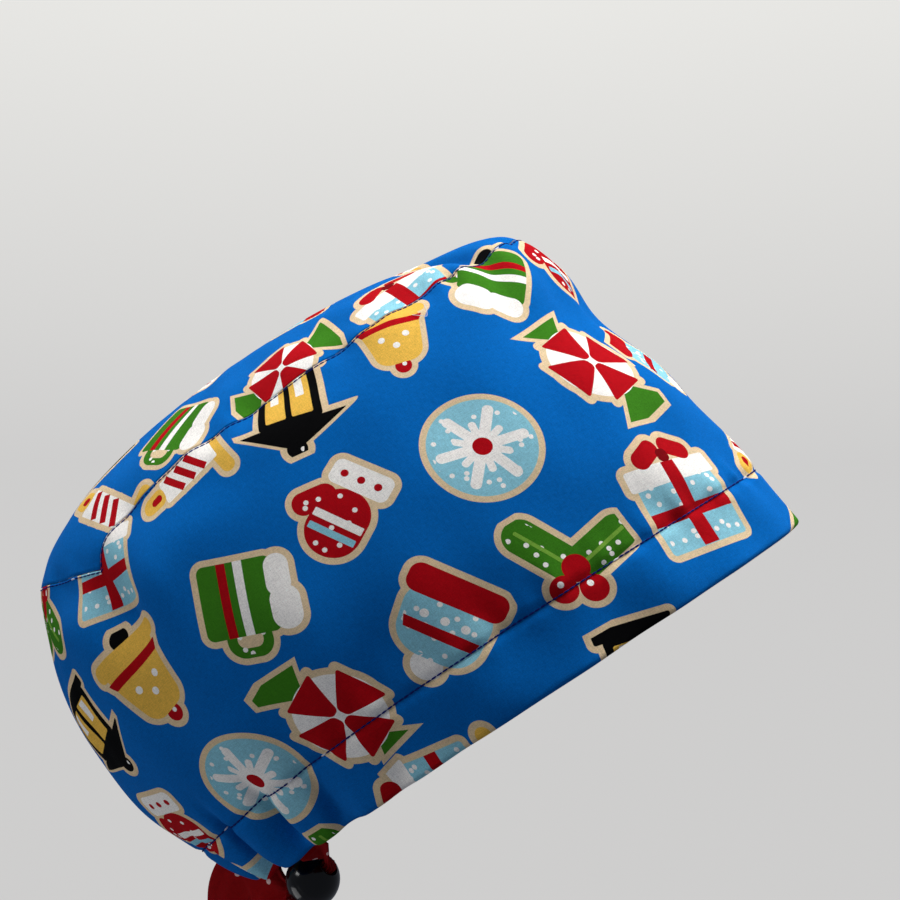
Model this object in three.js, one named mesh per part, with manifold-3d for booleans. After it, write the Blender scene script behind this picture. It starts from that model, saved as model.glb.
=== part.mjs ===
// A scrub cap as it is worn: crown panel, side band with its turned hem, drawtape, cord lock and ties.
// Millimetres, +Z up. The wearer faces -Y, and the wearer's left is +X.
// The origin is the middle of the head opening, where the cap sits on the head.
// The shell is worked out upright on a level hem, as (left, back, up), and then leans back by WORN_TILT.
import * as THREE from "three";
import { mergeVertices } from "three/addons/utils/BufferGeometryUtils.js";
import Module from "manifold-3d";

// The cap
const FRONT_REACH = 128; // origin to the folded edge at the forehead
const BACK_REACH = 155; // origin to the farthest point of the pouch
const HALF_WIDTH = 85; // origin to the widest point of the side band
const CROWN_RISE = 173; // hem plane to the top of the crown
const WORN_TILT = 33.5; // degrees that the hem rises towards the forehead
const CLOTH = 1.2; // wall of the crown, the band and the turned hem
const SEAM_GAP = 0.3; // between the crown panel and the band along their seam
const HEM_DEPTH = 24; // folded edge to the hem's stitch line
const FOLD_DEPTH = 5; // deepest crease in the cloth

// The drawtape in the hem, and what hangs from it
const TAPE_THICK = 1;
const TAPE_WIDTH = 16;
const TAPE_CLEAR = 0.3; // between the tape and the cloth round it
const NECK_THICK = 0.7; // the tape pressed flat in the slot
const EXIT_TURN = -133; // degrees from the forehead to the slot where the tape leaves the hem
const EXIT_WIDTH = 17;
const LOCK_DIAMETER = 20;
const LOCK_BORE = 7;
const BORE_CLEAR = 0.45; // between the lock's bore and the gathered tape in it
const TIE_WIDTH = 24;
const TIE_THICK = 1.6;
const TIE_LENGTH = 100;

// How finely the cloth is cut up
const FRONT_COLUMNS = 27; // from the forehead to the corner of the crown seam
const BACK_COLUMNS = 19; // from that corner to the middle of the back
const ROWS_PER_SECTION = 2;

// Level sections of the cap, from the folded edge up to the middle of the crown. front, back and side are
// shares of FRONT_REACH, BACK_REACH and HALF_WIDTH, mid is where the section is widest, as a share of
// BACK_REACH, the rises are shares of CROWN_RISE, and boxy squares the outline's corners. The top section
// is a point, MIDDLE of BACK_REACH behind the origin.
const MIDDLE = 0.125;
const SECTION_COLUMNS = ["at", "front", "back", "side", "mid", "riseFront", "riseSide", "riseBack", "boxy"];
const SECTIONS = [
  ["edge", 1.0, 0.8, 0.94, 0, -0.008, 0.008, -0.018, 0],
  ["stitching", 0.98, 0.88, 0.97, 0.01, 0.12, 0.145, 0.085, 0],
  ["low", 0.958, 0.958, 1.0, 0.03, 0.25, 0.31, 0.25, 0.005],
  ["middle", 0.93, 0.985, 0.985, 0.05, 0.43, 0.47, 0.44, 0.01],
  ["high", 0.866, 0.965, 0.92, 0.07, 0.62, 0.62, 0.61, 0.015],
  ["shoulder", 0.845, 0.925, 0.825, 0.09, 0.755, 0.73, 0.725, 0.02],
  ["seam", 0.795, 0.87, 0.71, 0.105, 0.85, 0.81, 0.815, 0.025],
  ["rim", 0.69, 0.775, 0.56, 0.115, 0.9, 0.885, 0.89, 0.02],
  ["slope", 0.48, 0.605, 0.36, 0.12, 0.945, 0.945, 0.95, 0.01],
  ["dome", 0.18, 0.38, 0.17, 0.125, 0.988, 0.986, 0.987, 0],
  ["top", -MIDDLE * (BACK_REACH / FRONT_REACH), MIDDLE, 0, MIDDLE, 1, 1, 1, 0],
].map((row) => Object.fromEntries(SECTION_COLUMNS.map((name, i) => [name, row[i]])));
const SEAM_LEVEL = SECTIONS.findIndex((row) => row.at === "seam");
const TOP_LEVEL = SECTIONS.length - 1;

// The crown seam runs level round the front and sides and drops to a corner on each side of the pouch.
// drop is in sections, and blunt is how far it is from a full quarter round.
const CORNER = { turn: 127, startsAt: 98, drop: 1.35, backDrop: 0.12, blunt: 0.03 };

// Creases in the cloth. turn is in degrees from the forehead, positive to the wearer's left, wide is in
// degrees, level and tall are in sections, depth is a share of FOLD_DEPTH, negative where the cloth stands
// out, and lean is how many degrees the crease turns for each section that it climbs.
const CREASES = [
  { at: "crown front, right", turn: -35, wide: 4.5, level: 6.6, tall: 1.5, depth: 1, lean: 3 },
  { at: "crown front, left", turn: 39, wide: 4.5, level: 6.2, tall: 1.2, depth: 0.6, lean: -3 },
  { at: "forehead dip, right", turn: -12, wide: 20, level: 3.85, tall: 0.8, depth: 0.9, lean: 0 },
  { at: "forehead bulge, left", turn: 20, wide: 18, level: 3, tall: 0.6, depth: -0.5, lean: 0 },
  { at: "seam corner, right", turn: -128, wide: 4, level: 4.1, tall: 0.7, depth: 0.8, lean: 0 },
  { at: "seam corner, left", turn: 128, wide: 4, level: 4.1, tall: 0.7, depth: 0.7, lean: 0 },
  { at: "pouch by the corner, right", turn: -140, wide: 7, level: 4.2, tall: 0.6, depth: -0.45, lean: 0 },
  { at: "pouch by the corner, left", turn: 141, wide: 7, level: 4.2, tall: 0.6, depth: -0.4, lean: 0 },
  { at: "band by the corner, right", turn: -116, wide: 6, level: 4.0, tall: 0.6, depth: -0.35, lean: 0 },
  { at: "band by the corner, left", turn: 115, wide: 6, level: 4.0, tall: 0.6, depth: -0.35, lean: 0 },
  { at: "side, right", turn: -78, wide: 22, level: 3.2, tall: 1.5, depth: 0.25, lean: -6 },
  { at: "side, left", turn: 84, wide: 22, level: 3.2, tall: 1.5, depth: 0.3, lean: 6 },
];

// Gathers that fan out from the slot where the tape leaves the hem.
const GATHERS = { pitch: 12, spread: 0.25, reach: 26, tall: 1.3, depth: 0.38 };

// The ties' routes from the lock, by hand: left, back and up in shares of TIE_LENGTH, and face, the degrees
// that the cloth has turned from facing the wearer's right towards facing back.
const TIE_ROUTES = {
  tie_upper: [
    { left: 0, back: 0, up: 0, face: 0 },
    { left: 0.04, back: 0.08, up: -0.09, face: 0 },
    { left: 0.1, back: 0.16, up: -0.15, face: 4 },
    { left: 0.18, back: 0.25, up: -0.15, face: 10 },
    { left: 0.24, back: 0.32, up: -0.13, face: 20 },
    { left: 0.28, back: 0.37, up: -0.22, face: 36 },
    { left: 0.29, back: 0.38, up: -0.42, face: 50 },
    { left: 0.28, back: 0.37, up: -0.66, face: 58 },
  ],
  tie_lower: [
    { left: 0, back: 0, up: 0, face: 0 },
    { left: -0.01, back: 0.04, up: -0.09, face: 0 },
    { left: 0, back: 0.08, up: -0.2, face: 8 },
    { left: 0.01, back: 0.1, up: -0.36, face: 18 },
    { left: 0.02, back: 0.105, up: -0.56, face: 28 },
    { left: 0.02, back: 0.1, up: -0.95, face: 36 },
  ],
};

const radians = THREE.MathUtils.degToRad;
const bell = (distance) => Math.exp(-distance * distance);
const signedTurn = (turn) => THREE.MathUtils.euclideanModulo(turn + 180, 360) - 180;

// The sections' values at any level between two rows, on a smooth curve through the rows.
function sectionAt(level) {
  const row = Math.min(Math.floor(level), TOP_LEVEL - 1);
  const share = level - row;
  const [before, from, to, after] = [-1, 0, 1, 2].map(
    (step) => SECTIONS[THREE.MathUtils.clamp(row + step, 0, TOP_LEVEL)],
  );
  const smooth = (name) => {
    const [a, b, c, d] = [before[name], from[name], to[name], after[name]];
    const start = (c - a) / 2;
    const end = (d - b) / 2;
    const bend = 3 * (c - b) - 2 * start - end;
    return b + share * (start + share * (bend + share * (2 * (b - c) + start + end)));
  };
  const names = ["front", "back", "side", "mid", "riseFront", "riseSide", "riseBack", "boxy"];
  return Object.fromEntries(names.map((name) => [name, smooth(name)]));
}

// A point of the smooth shell, as (left, back, up) on a level hem, before creases and gathers.
function smoothShell(turn, level) {
  const section = sectionAt(level);
  const angle = radians(turn);
  const across = (Math.sin(angle) + section.boxy * Math.sin(3 * angle)) / (1 - section.boxy);
  const along = (Math.cos(angle) - section.boxy * Math.cos(3 * angle)) / (1 - section.boxy);
  const facesFront = Math.cos(angle) >= 0;
  const middle = section.mid * BACK_REACH;
  const reach = facesFront ? section.front * FRONT_REACH + middle : section.back * BACK_REACH - middle;
  const endRise = facesFront ? section.riseFront : section.riseBack;
  const rise = section.riseSide + (endRise - section.riseSide) * Math.cos(angle) ** 2;
  return new THREE.Vector3(section.side * HALF_WIDTH * across, middle - reach * along, rise * CROWN_RISE);
}

// The outward direction of the smooth shell.
function outward(turn, level) {
  if (level > TOP_LEVEL - 0.05) return new THREE.Vector3(0, 0, 1);
  const step = 0.02;
  const round = smoothShell(turn + step, level).sub(smoothShell(turn - step, level));
  const up = smoothShell(turn, level + step).sub(smoothShell(turn, Math.max(level - step, 0)));
  return round.cross(up).normalize();
}

// How far the creases and gathers push the cloth in at a point.
function creaseDepth(turn, level) {
  let depth = 0;
  for (const crease of CREASES) {
    const sideways = signedTurn(turn - crease.turn - crease.lean * (level - crease.level)) / crease.wide;
    depth += crease.depth * bell(sideways) * bell((level - crease.level) / crease.tall);
  }
  const fromExit = signedTurn(turn - EXIT_TURN) / (1 + GATHERS.spread * level);
  const fades = bell(fromExit / GATHERS.reach) * bell(level / GATHERS.tall);
  depth += GATHERS.depth * fades * Math.cos((2 * Math.PI * fromExit) / GATHERS.pitch);
  return depth * FOLD_DEPTH;
}

// A point of the creased shell, a given distance inside its outer face.
function shell(turn, level, inside = 0) {
  const push = inside + creaseDepth(turn, level) * Math.min(1, (TOP_LEVEL - level) / 2);
  return smoothShell(turn, level).addScaledVector(outward(turn, level), -push);
}

// Half the gap along the crown seam, in sections, which are about SEAM_SPACING apart there.
const SEAM_SPACING = 16;
const SEAM_SHARE = SEAM_GAP / 2 / SEAM_SPACING;

// The level of the crown seam at a turn.
function seamLevel(turn) {
  const away = Math.abs(signedTurn(turn));
  const rounded = (share) => CORNER.drop * (1 - Math.sqrt(1 - (1 - CORNER.blunt) * share * share));
  if (away <= CORNER.startsAt) return SEAM_LEVEL;
  if (away <= CORNER.turn) {
    const share = (away - CORNER.startsAt) / (CORNER.turn - CORNER.startsAt);
    return SEAM_LEVEL - rounded(share);
  }
  const share = (180 - away) / (180 - CORNER.turn);
  return SEAM_LEVEL - CORNER.backDrop - (rounded(1) - CORNER.backDrop) * share * share;
}

// The level that lies a given way up the cloth from the folded edge.
function levelAbove(turn, distance) {
  const step = 0.05;
  let level = 0;
  let climbed = 0;
  while (level < SEAM_LEVEL) {
    const length = smoothShell(turn, level).distanceTo(smoothShell(turn, level + step));
    if (climbed + length >= distance) return level + (step * (distance - climbed)) / length;
    climbed += length;
    level += step;
  }
  return level;
}

// The slot reaches this many degrees to each side of EXIT_TURN.
const DEGREE_AT_EXIT = smoothShell(EXIT_TURN + 0.5, 0).distanceTo(smoothShell(EXIT_TURN - 0.5, 0));
const EXIT_HALF = EXIT_WIDTH / 2 / DEGREE_AT_EXIT;
const SLOT_ENDS = [EXIT_TURN - EXIT_HALF, EXIT_TURN + EXIT_HALF];

// The columns round the cap, with some of them on the corners of the crown seam and the ends of the slot.
function columns() {
  const front = Array.from({ length: FRONT_COLUMNS }, (_, i) => (CORNER.turn * i) / FRONT_COLUMNS);
  const backStep = (180 - CORNER.turn) / BACK_COLUMNS;
  const back = Array.from({ length: BACK_COLUMNS }, (_, i) => CORNER.turn + backStep * i);
  const half = [...front, ...back];
  const even = [...half, 180, ...half.slice(1).map((turn) => -turn)];
  const clear = even.filter((turn) => SLOT_ENDS.every((end) => Math.abs(turn - end) > backStep / 3));
  return [...clear, ...SLOT_ENDS].sort((a, b) => a - b);
}
const TURNS = columns();

// A point of a wall's facets, between the columns as well as on them.
function facet(turn, level, inside) {
  const next = TURNS.findIndex((column) => column >= turn - 1e-9);
  const [from, to] = [TURNS[Math.max(next - 1, 0)], TURNS[next]];
  const share = to > from ? (turn - from) / (to - from) : 1;
  return shell(from, level(from), inside).lerp(shell(to, level(to), inside), share);
}

// Faces across an outline whose points run along one side and back along the other.
function ladder(start, count, flip) {
  const faces = [];
  for (let j = 0, k = count - 1; k - j > 1; j++, k--) {
    faces.push(...(flip ? [j + 1, j, k] : [j, j + 1, k]));
    if (k - j > 2) faces.push(...(flip ? [k - 1, j + 1, k] : [j + 1, k - 1, k]));
  }
  return faces.map((corner) => corner + start);
}

// A closed skin over a row of outlines with equally many points. The row closes on itself, or each end is
// closed across.
function skin(outlines, closes) {
  const count = outlines[0].length;
  const faces = [];
  const joins = closes ? outlines.length : outlines.length - 1;
  for (let i = 0; i < joins; i++) {
    const here = i * count;
    const next = ((i + 1) % outlines.length) * count;
    for (let j = 0; j < count; j++) {
      const k = (j + 1) % count;
      faces.push(here + j, here + k, next + k, here + j, next + k, next + j);
    }
  }
  const last = (outlines.length - 1) * count;
  if (!closes) faces.push(...ladder(0, count, true), ...ladder(last, count, false));
  const geometry = new THREE.BufferGeometry().setFromPoints(outlines.flat()).setIndex(faces);
  return facingOut(geometry);
}

// The same skin with its faces turned outwards.
function facingOut(geometry) {
  const at = geometry.attributes.position;
  const index = geometry.index.array;
  const [a, b, c] = [new THREE.Vector3(), new THREE.Vector3(), new THREE.Vector3()];
  let volume = 0;
  for (let i = 0; i < index.length; i += 3) {
    a.fromBufferAttribute(at, index[i]);
    b.fromBufferAttribute(at, index[i + 1]);
    c.fromBufferAttribute(at, index[i + 2]);
    volume += a.dot(b.cross(c));
  }
  if (volume > 0) return geometry;
  for (let i = 0; i < index.length; i += 3) [index[i], index[i + 1]] = [index[i + 1], index[i]];
  return geometry;
}

const wasm = await Module();
wasm.setup();

// The same faces with nothing but their positions.
function bare(geometry) {
  const plain = new THREE.BufferGeometry().setAttribute("position", geometry.getAttribute("position"));
  return geometry.index ? plain.setIndex(geometry.index) : plain;
}

function solid(geometry) {
  const merged = mergeVertices(bare(geometry), 1e-4);
  return new wasm.Manifold(
    new wasm.Mesh({
      numProp: 3,
      vertProperties: new Float32Array(merged.attributes.position.array),
      triVerts: new Uint32Array(merged.index.array),
    }),
  );
}

function cut(geometry, tool) {
  const mesh = solid(geometry).subtract(solid(tool)).getMesh();
  return new THREE.BufferGeometry()
    .setAttribute("position", new THREE.BufferAttribute(mesh.vertProperties, 3))
    .setIndex(new THREE.BufferAttribute(mesh.triVerts, 1));
}

const outline = (level, inside) => TURNS.map((turn) => shell(turn, level(turn), inside));

// Levels of the side band: the folded edge, the foot and head of the tape in the hem, the hem's stitching,
// and on up to just under the crown seam.
const TAPE_FOOT = (HEM_DEPTH - TAPE_WIDTH) / 2;
function bandLevels() {
  const hem = [0, TAPE_FOOT, TAPE_FOOT + TAPE_WIDTH, HEM_DEPTH];
  const hemLevels = hem.map((distance) => (turn) => levelAbove(turn, distance));
  const count = (SEAM_LEVEL - 2) * ROWS_PER_SECTION;
  const above = Array.from({ length: count }, (_, i) => (turn) => {
    const stitched = levelAbove(turn, HEM_DEPTH);
    return stitched + (seamLevel(turn) - SEAM_SHARE - stitched) * ((i + 1) / count);
  });
  return [...hemLevels, ...above];
}

// The band and its hem are one cloth: down the outside, round the folded edge and up again inside.
const CASING = TAPE_THICK + 2 * TAPE_CLEAR;
const HEM_THICK = 2 * CLOTH + CASING;
function sideBand() {
  const levels = bandLevels();
  const hemLevels = levels.slice(0, 4);
  const fold = (inside) =>
    TURNS.map((turn) => shell(turn, 0, inside).addScaledVector(edgeDown(turn), EDGE_DROP));
  const rings = [
    ...levels.map((level) => outline(level, 0)).reverse(),
    fold(0.25 * HEM_THICK),
    fold(0.75 * HEM_THICK),
    ...hemLevels.map((level) => outline(level, HEM_THICK)),
    ...hemLevels.map((level) => outline(level, HEM_THICK - CLOTH)).reverse(),
    ...levels.map((level) => outline(level, CLOTH)),
  ];
  return skin(rings, true);
}

function crownPanel() {
  const count = (TOP_LEVEL - SEAM_LEVEL) * ROWS_PER_SECTION - 1;
  const level = (i) => (turn) => {
    const start = seamLevel(turn) + SEAM_SHARE;
    return start + (TOP_LEVEL - start) * (i / (count + 0.6));
  };
  const rows = Array.from({ length: count }, (_, i) => level(i));
  const outer = rows.map((row) => outline(row, 0));
  const inner = rows.map((row) => outline(row, CLOTH));
  return skin([...inner.reverse(), ...outer], false);
}

const cap = new THREE.Group();
cap.rotation.x = -radians(WORN_TILT);
const worn = (point) => point.clone().applyEuler(cap.rotation);

// The tape lies in the middle of the hem, on the cloth's own facets, and stops at both sides of the slot.
function drawtape() {
  const [end, start] = SLOT_ENDS;
  const turns = [...TURNS.filter((turn) => turn >= start), ...TURNS.filter((turn) => turn <= end)];
  const near = CLOTH + TAPE_CLEAR;
  const far = near + TAPE_THICK;
  const [foot, head] = bandLevels().slice(1, 3);
  const section = (turn) => [
    shell(turn, foot(turn), near),
    shell(turn, head(turn), near),
    shell(turn, head(turn), far),
    shell(turn, foot(turn), far),
  ];
  return skin(turns.map(section), false);
}

// The slot is the stretch of the folded edge that is left open between the band and its turned-up hem.
const FOLD_ROUNDNESS = 0.43; // how far the fold bulges below its level, as a share of its thickness
const EDGE_DROP = FOLD_ROUNDNESS * HEM_THICK;
const SLOT_TRIM = 0.15; // trimmed off each wall of the slot
function edgeDown(turn) {
  return smoothShell(turn, 0).sub(smoothShell(turn, 0.2)).normalize();
}
function slotTool() {
  const [near, far] = [CLOTH - SLOT_TRIM, HEM_THICK - CLOTH + SLOT_TRIM];
  const [top, bottom] = [-CLOTH, 2 * EDGE_DROP];
  const section = (turn) => {
    const down = edgeDown(turn);
    const corner = (inside, drop) => shell(turn, 0, inside).addScaledVector(down, drop);
    return [corner(near, bottom), corner(far, bottom), corner(far, top), corner(near, top)];
  };
  return skin(TURNS.filter((turn) => turn >= SLOT_ENDS[0] && turn <= SLOT_ENDS[1]).map(section), false);
}

// The lock hangs below the slot, with its bore running back and down.
const exitPoint = worn(shell(EXIT_TURN, 0, HEM_THICK / 2));
const LOCK_OFFSET = new THREE.Vector3(0.95, 0.2, -0.9).multiplyScalar(LOCK_DIAMETER);
const lockMiddle = exitPoint.clone().add(LOCK_OFFSET);
const boreAxis = new THREE.Vector3(0.3, 0.7, -0.65).normalize();
const bunchRadius = LOCK_BORE / 2 - BORE_CLEAR;
const lockEnd = Math.sqrt((LOCK_DIAMETER / 2) ** 2 - (LOCK_BORE / 2) ** 2);
const bunchEnd = lockMiddle.clone().addScaledVector(boreAxis, lockEnd + 1);

function cordLock() {
  const radius = LOCK_DIAMETER / 2;
  const mouth = Math.acos(LOCK_BORE / 2 / radius);
  const steps = 14;
  const arc = Array.from({ length: steps + 1 }, (_, i) => {
    const angle = mouth * ((2 * i) / steps - 1);
    return new THREE.Vector2(radius * Math.cos(angle), radius * Math.sin(angle));
  });
  return facingOut(mergeVertices(bare(new THREE.LatheGeometry([...arc, arc[0].clone()], 24)), 1e-4));
}

// The tape's two ends leave the slot flat and are gathered into a round bunch that fills the bore.
function tapeNeck() {
  const inner = TURNS.filter((turn) => turn > SLOT_ENDS[0] && turn < SLOT_ENDS[1]);
  const endGap = (TAPE_THICK / EXIT_WIDTH) * 2 * EXIT_HALF;
  const turns = [SLOT_ENDS[0] + endGap, ...inner, SLOT_ENDS[1] - endGap].reverse();
  const [near, far] = [(HEM_THICK - NECK_THICK) / 2, (HEM_THICK + NECK_THICK) / 2];
  const flat = (pointAt) => [
    ...turns.map((turn) => worn(pointAt(turn, near))),
    ...[...turns].reverse().map((turn) => worn(pointAt(turn, far))),
  ];
  const edge = () => 0;
  const below = (turn, inside) =>
    facet(turn, edge, inside).addScaledVector(edgeDown(turn), EDGE_DROP + CLOTH);
  const mouth = flat(below);
  const last = turns.length - 1;
  const wide = mouth[0].clone().sub(mouth[last]).normalize();
  const round = (middle) => {
    const side = wide.clone().addScaledVector(boreAxis, -wide.dot(boreAxis)).normalize();
    const out = new THREE.Vector3().crossVectors(side, boreAxis).normalize();
    return mouth.map((_, i) => {
      const angle = (Math.PI * (i + 0.5)) / turns.length;
      return middle
        .clone()
        .addScaledVector(side, bunchRadius * Math.cos(angle))
        .addScaledVector(out, -bunchRadius * Math.sin(angle));
    });
  };
  const bunch = round(lockMiddle.clone().addScaledVector(boreAxis, -lockEnd - 1));
  const between = (share) => mouth.map((point, i) => point.clone().lerp(bunch[i], share));
  const foot = bandLevels()[1];
  const top = flat((turn, inside) => facet(turn, foot, inside));
  const slot = flat((turn, inside) => facet(turn, edge, inside));
  return skin([top, slot, mouth, between(0.4), between(0.75), bunch, round(bunchEnd)], false);
}

// A tie is a ribbon of doubled cloth: pinched where it leaves the bore and flat over the rest of its length.
function tie(route, side) {
  const rows = route.map((row) => new THREE.Vector3(row.left, row.back, row.up).multiplyScalar(TIE_LENGTH));
  const path = new THREE.CatmullRomCurve3(rows, false, "centripetal");
  const faces = new THREE.SplineCurve(route.map((row, i) => new THREE.Vector2(i, row.face)));
  const steps = 14;
  const start = bunchEnd.clone().addScaledVector(boreAxis, TAPE_CLEAR);
  return skin(
    Array.from({ length: steps + 1 }, (_, i) => {
      const share = i / steps;
      const along = i ? path.getTangentAt(share) : boreAxis.clone();
      const face = radians(faces.getPointAt(share).y);
      const out = new THREE.Vector3(-Math.cos(face), Math.sin(face), 0);
      const wide = new THREE.Vector3().crossVectors(along, out).normalize();
      out.crossVectors(wide, along);
      const spread = THREE.MathUtils.smoothstep(share, 0, 0.26);
      const halfWide = THREE.MathUtils.lerp(bunchRadius, TIE_WIDTH / 2, spread);
      const halfThick = THREE.MathUtils.lerp(bunchRadius * 0.42, TIE_THICK / 2, spread);
      const middle = path.getPointAt(share).add(start).addScaledVector(out, -side * bunchRadius * 0.52);
      const corners = [[-1, 0], [-0.85, 1], [0.85, 1], [1, 0], [0.85, -1], [-0.85, -1]];
      return corners.map(([w, t]) =>
        middle.clone().addScaledVector(wide, w * halfWide).addScaledVector(out, t * halfThick),
      );
    }),
    false,
  );
}

const scrubCap = new THREE.Group();
scrubCap.add(cap);

const printedCotton = new THREE.MeshStandardMaterial({ color: 0x0a58a8, roughness: 0.85, metalness: 0 });
const dottedCotton = new THREE.MeshStandardMaterial({ color: 0x8c0812, roughness: 0.9, metalness: 0 });
const glossyPlastic = new THREE.MeshStandardMaterial({ color: 0x050505, roughness: 0.15, metalness: 0 });

function add(group, name, geometry, material) {
  const mesh = new THREE.Mesh(geometry, material);
  mesh.name = name;
  group.add(mesh);
  return mesh;
}

add(cap, "crown_panel", crownPanel(), printedCotton);
add(cap, "side_band", cut(sideBand(), slotTool()), printedCotton);
add(cap, "drawtape", drawtape(), dottedCotton);
add(scrubCap, "tape_neck", tapeNeck(), dottedCotton);
const lock = add(scrubCap, "cord_lock", cordLock(), glossyPlastic);
lock.position.copy(lockMiddle);
lock.quaternion.setFromUnitVectors(new THREE.Vector3(0, 1, 0), boreAxis);
add(scrubCap, "tie_upper", tie(TIE_ROUTES.tie_upper, 1), dottedCotton);
add(scrubCap, "tie_lower", tie(TIE_ROUTES.tie_lower, -1), dottedCotton);

export default scrubCap;
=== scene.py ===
"""A printed cotton scrub cap as it is worn, with its hem tape, cord lock and free ties.

Metres, +Z up. The wearer faces -Y and the wearer's left is +X. The origin is the middle of the
head opening. The shell is worked out upright on a level hem, as (left, back, up), and then leans
back by the worn tilt.
"""

from __future__ import annotations

import logging
import math
from dataclasses import dataclass, field
from enum import Enum
from typing import NamedTuple, Sequence

import bpy
import numpy as np
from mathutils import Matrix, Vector

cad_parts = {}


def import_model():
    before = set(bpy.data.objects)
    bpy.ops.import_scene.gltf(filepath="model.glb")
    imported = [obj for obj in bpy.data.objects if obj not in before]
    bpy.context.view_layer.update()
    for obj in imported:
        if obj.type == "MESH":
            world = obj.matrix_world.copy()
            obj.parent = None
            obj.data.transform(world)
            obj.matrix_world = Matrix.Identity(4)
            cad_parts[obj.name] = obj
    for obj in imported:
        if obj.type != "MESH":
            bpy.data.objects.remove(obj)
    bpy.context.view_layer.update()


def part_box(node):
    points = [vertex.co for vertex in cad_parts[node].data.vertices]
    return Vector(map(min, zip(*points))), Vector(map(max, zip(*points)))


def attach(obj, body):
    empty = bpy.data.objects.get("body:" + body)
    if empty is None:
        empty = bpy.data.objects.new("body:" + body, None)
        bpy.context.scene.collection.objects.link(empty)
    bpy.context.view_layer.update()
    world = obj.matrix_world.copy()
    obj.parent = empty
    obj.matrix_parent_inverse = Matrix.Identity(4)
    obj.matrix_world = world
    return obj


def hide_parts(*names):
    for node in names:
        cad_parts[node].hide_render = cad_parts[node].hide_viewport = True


LOG = logging.getLogger("scrub_cap")
MM = 0.001
Colour = tuple[float, float, float]


def linear(red: int, green: int, blue: int) -> Colour:
    """Turn a screen colour into a scene-linear one.

    Args:
        red: Red, 0 to 255.
        green: Green, 0 to 255.
        blue: Blue, 0 to 255.

    Returns:
        The linear colour.
    """

    def channel(value: int) -> float:
        """Return one channel's linear value."""
        share = value / 255
        return share / 12.92 if share <= 0.04045 else ((share + 0.055) / 1.055) ** 2.4

    return channel(red), channel(green), channel(blue)


def bell(distance: np.ndarray) -> np.ndarray:
    """Return a smooth bump, 1 in the middle and 0 far away."""
    return np.exp(-distance * distance)


def signed_turn(turn: np.ndarray) -> np.ndarray:
    """Return degrees brought to between -180 and 180."""
    return np.mod(turn + 180, 360) - 180


def unit(vectors: np.ndarray) -> np.ndarray:
    """Return the vectors at length 1."""
    return vectors / np.maximum(np.linalg.norm(vectors, axis=-1, keepdims=True), 1e-12)


class Section(NamedTuple):
    """A level section: shares of the reaches, the half width and the rise, as the part states them."""

    at: str
    front: float
    back: float
    side: float
    mid: float
    rise_front: float
    rise_side: float
    rise_back: float
    boxy: float


class Crease(NamedTuple):
    """A crease: degrees from the forehead, sections up the cloth, and a share of the fold depth."""

    at: str
    turn: float
    wide: float
    level: float
    tall: float
    depth: float
    lean: float


MIDDLE = 0.125
SECTIONS = (
    Section("edge", 1.0, 0.8, 0.94, 0, -0.008, 0.008, -0.018, 0),
    Section("stitching", 0.98, 0.88, 0.97, 0.01, 0.12, 0.145, 0.085, 0),
    Section("low", 0.958, 0.958, 1.0, 0.03, 0.25, 0.31, 0.25, 0.005),
    Section("middle", 0.93, 0.985, 0.985, 0.05, 0.43, 0.47, 0.44, 0.01),
    Section("high", 0.866, 0.965, 0.92, 0.07, 0.62, 0.62, 0.61, 0.015),
    Section("shoulder", 0.845, 0.925, 0.825, 0.09, 0.755, 0.73, 0.725, 0.02),
    Section("seam", 0.795, 0.87, 0.71, 0.105, 0.85, 0.81, 0.815, 0.025),
    Section("rim", 0.69, 0.775, 0.56, 0.115, 0.9, 0.885, 0.89, 0.02),
    Section("slope", 0.48, 0.605, 0.36, 0.12, 0.945, 0.945, 0.95, 0.01),
    Section("dome", 0.18, 0.38, 0.17, 0.125, 0.988, 0.986, 0.987, 0),
    Section("top", -MIDDLE * 155 / 128, MIDDLE, 0, MIDDLE, 1, 1, 1, 0),
)
SEAM_LEVEL = 6
TOP_LEVEL = len(SECTIONS) - 1

CREASES = (
    Crease("crown front, right", -35, 4.5, 6.6, 1.5, 1, 3),
    Crease("crown front, left", 39, 4.5, 6.2, 1.2, 0.6, -3),
    Crease("forehead dip, right", -12, 20, 3.85, 0.8, 0.9, 0),
    Crease("forehead bulge, left", 20, 18, 3, 0.6, -0.5, 0),
    Crease("seam corner, right", -128, 4, 4.1, 0.7, 0.8, 0),
    Crease("seam corner, left", 128, 4, 4.1, 0.7, 0.7, 0),
    Crease("pouch by the corner, right", -140, 7, 4.2, 0.6, -0.45, 0),
    Crease("pouch by the corner, left", 141, 7, 4.2, 0.6, -0.4, 0),
    Crease("band by the corner, right", -116, 6, 4.0, 0.6, -0.35, 0),
    Crease("band by the corner, left", 115, 6, 4.0, 0.6, -0.35, 0),
    Crease("side, right", -78, 22, 3.2, 1.5, 0.25, -6),
    Crease("side, left", 84, 22, 3.2, 1.5, 0.3, 6),
)
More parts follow.
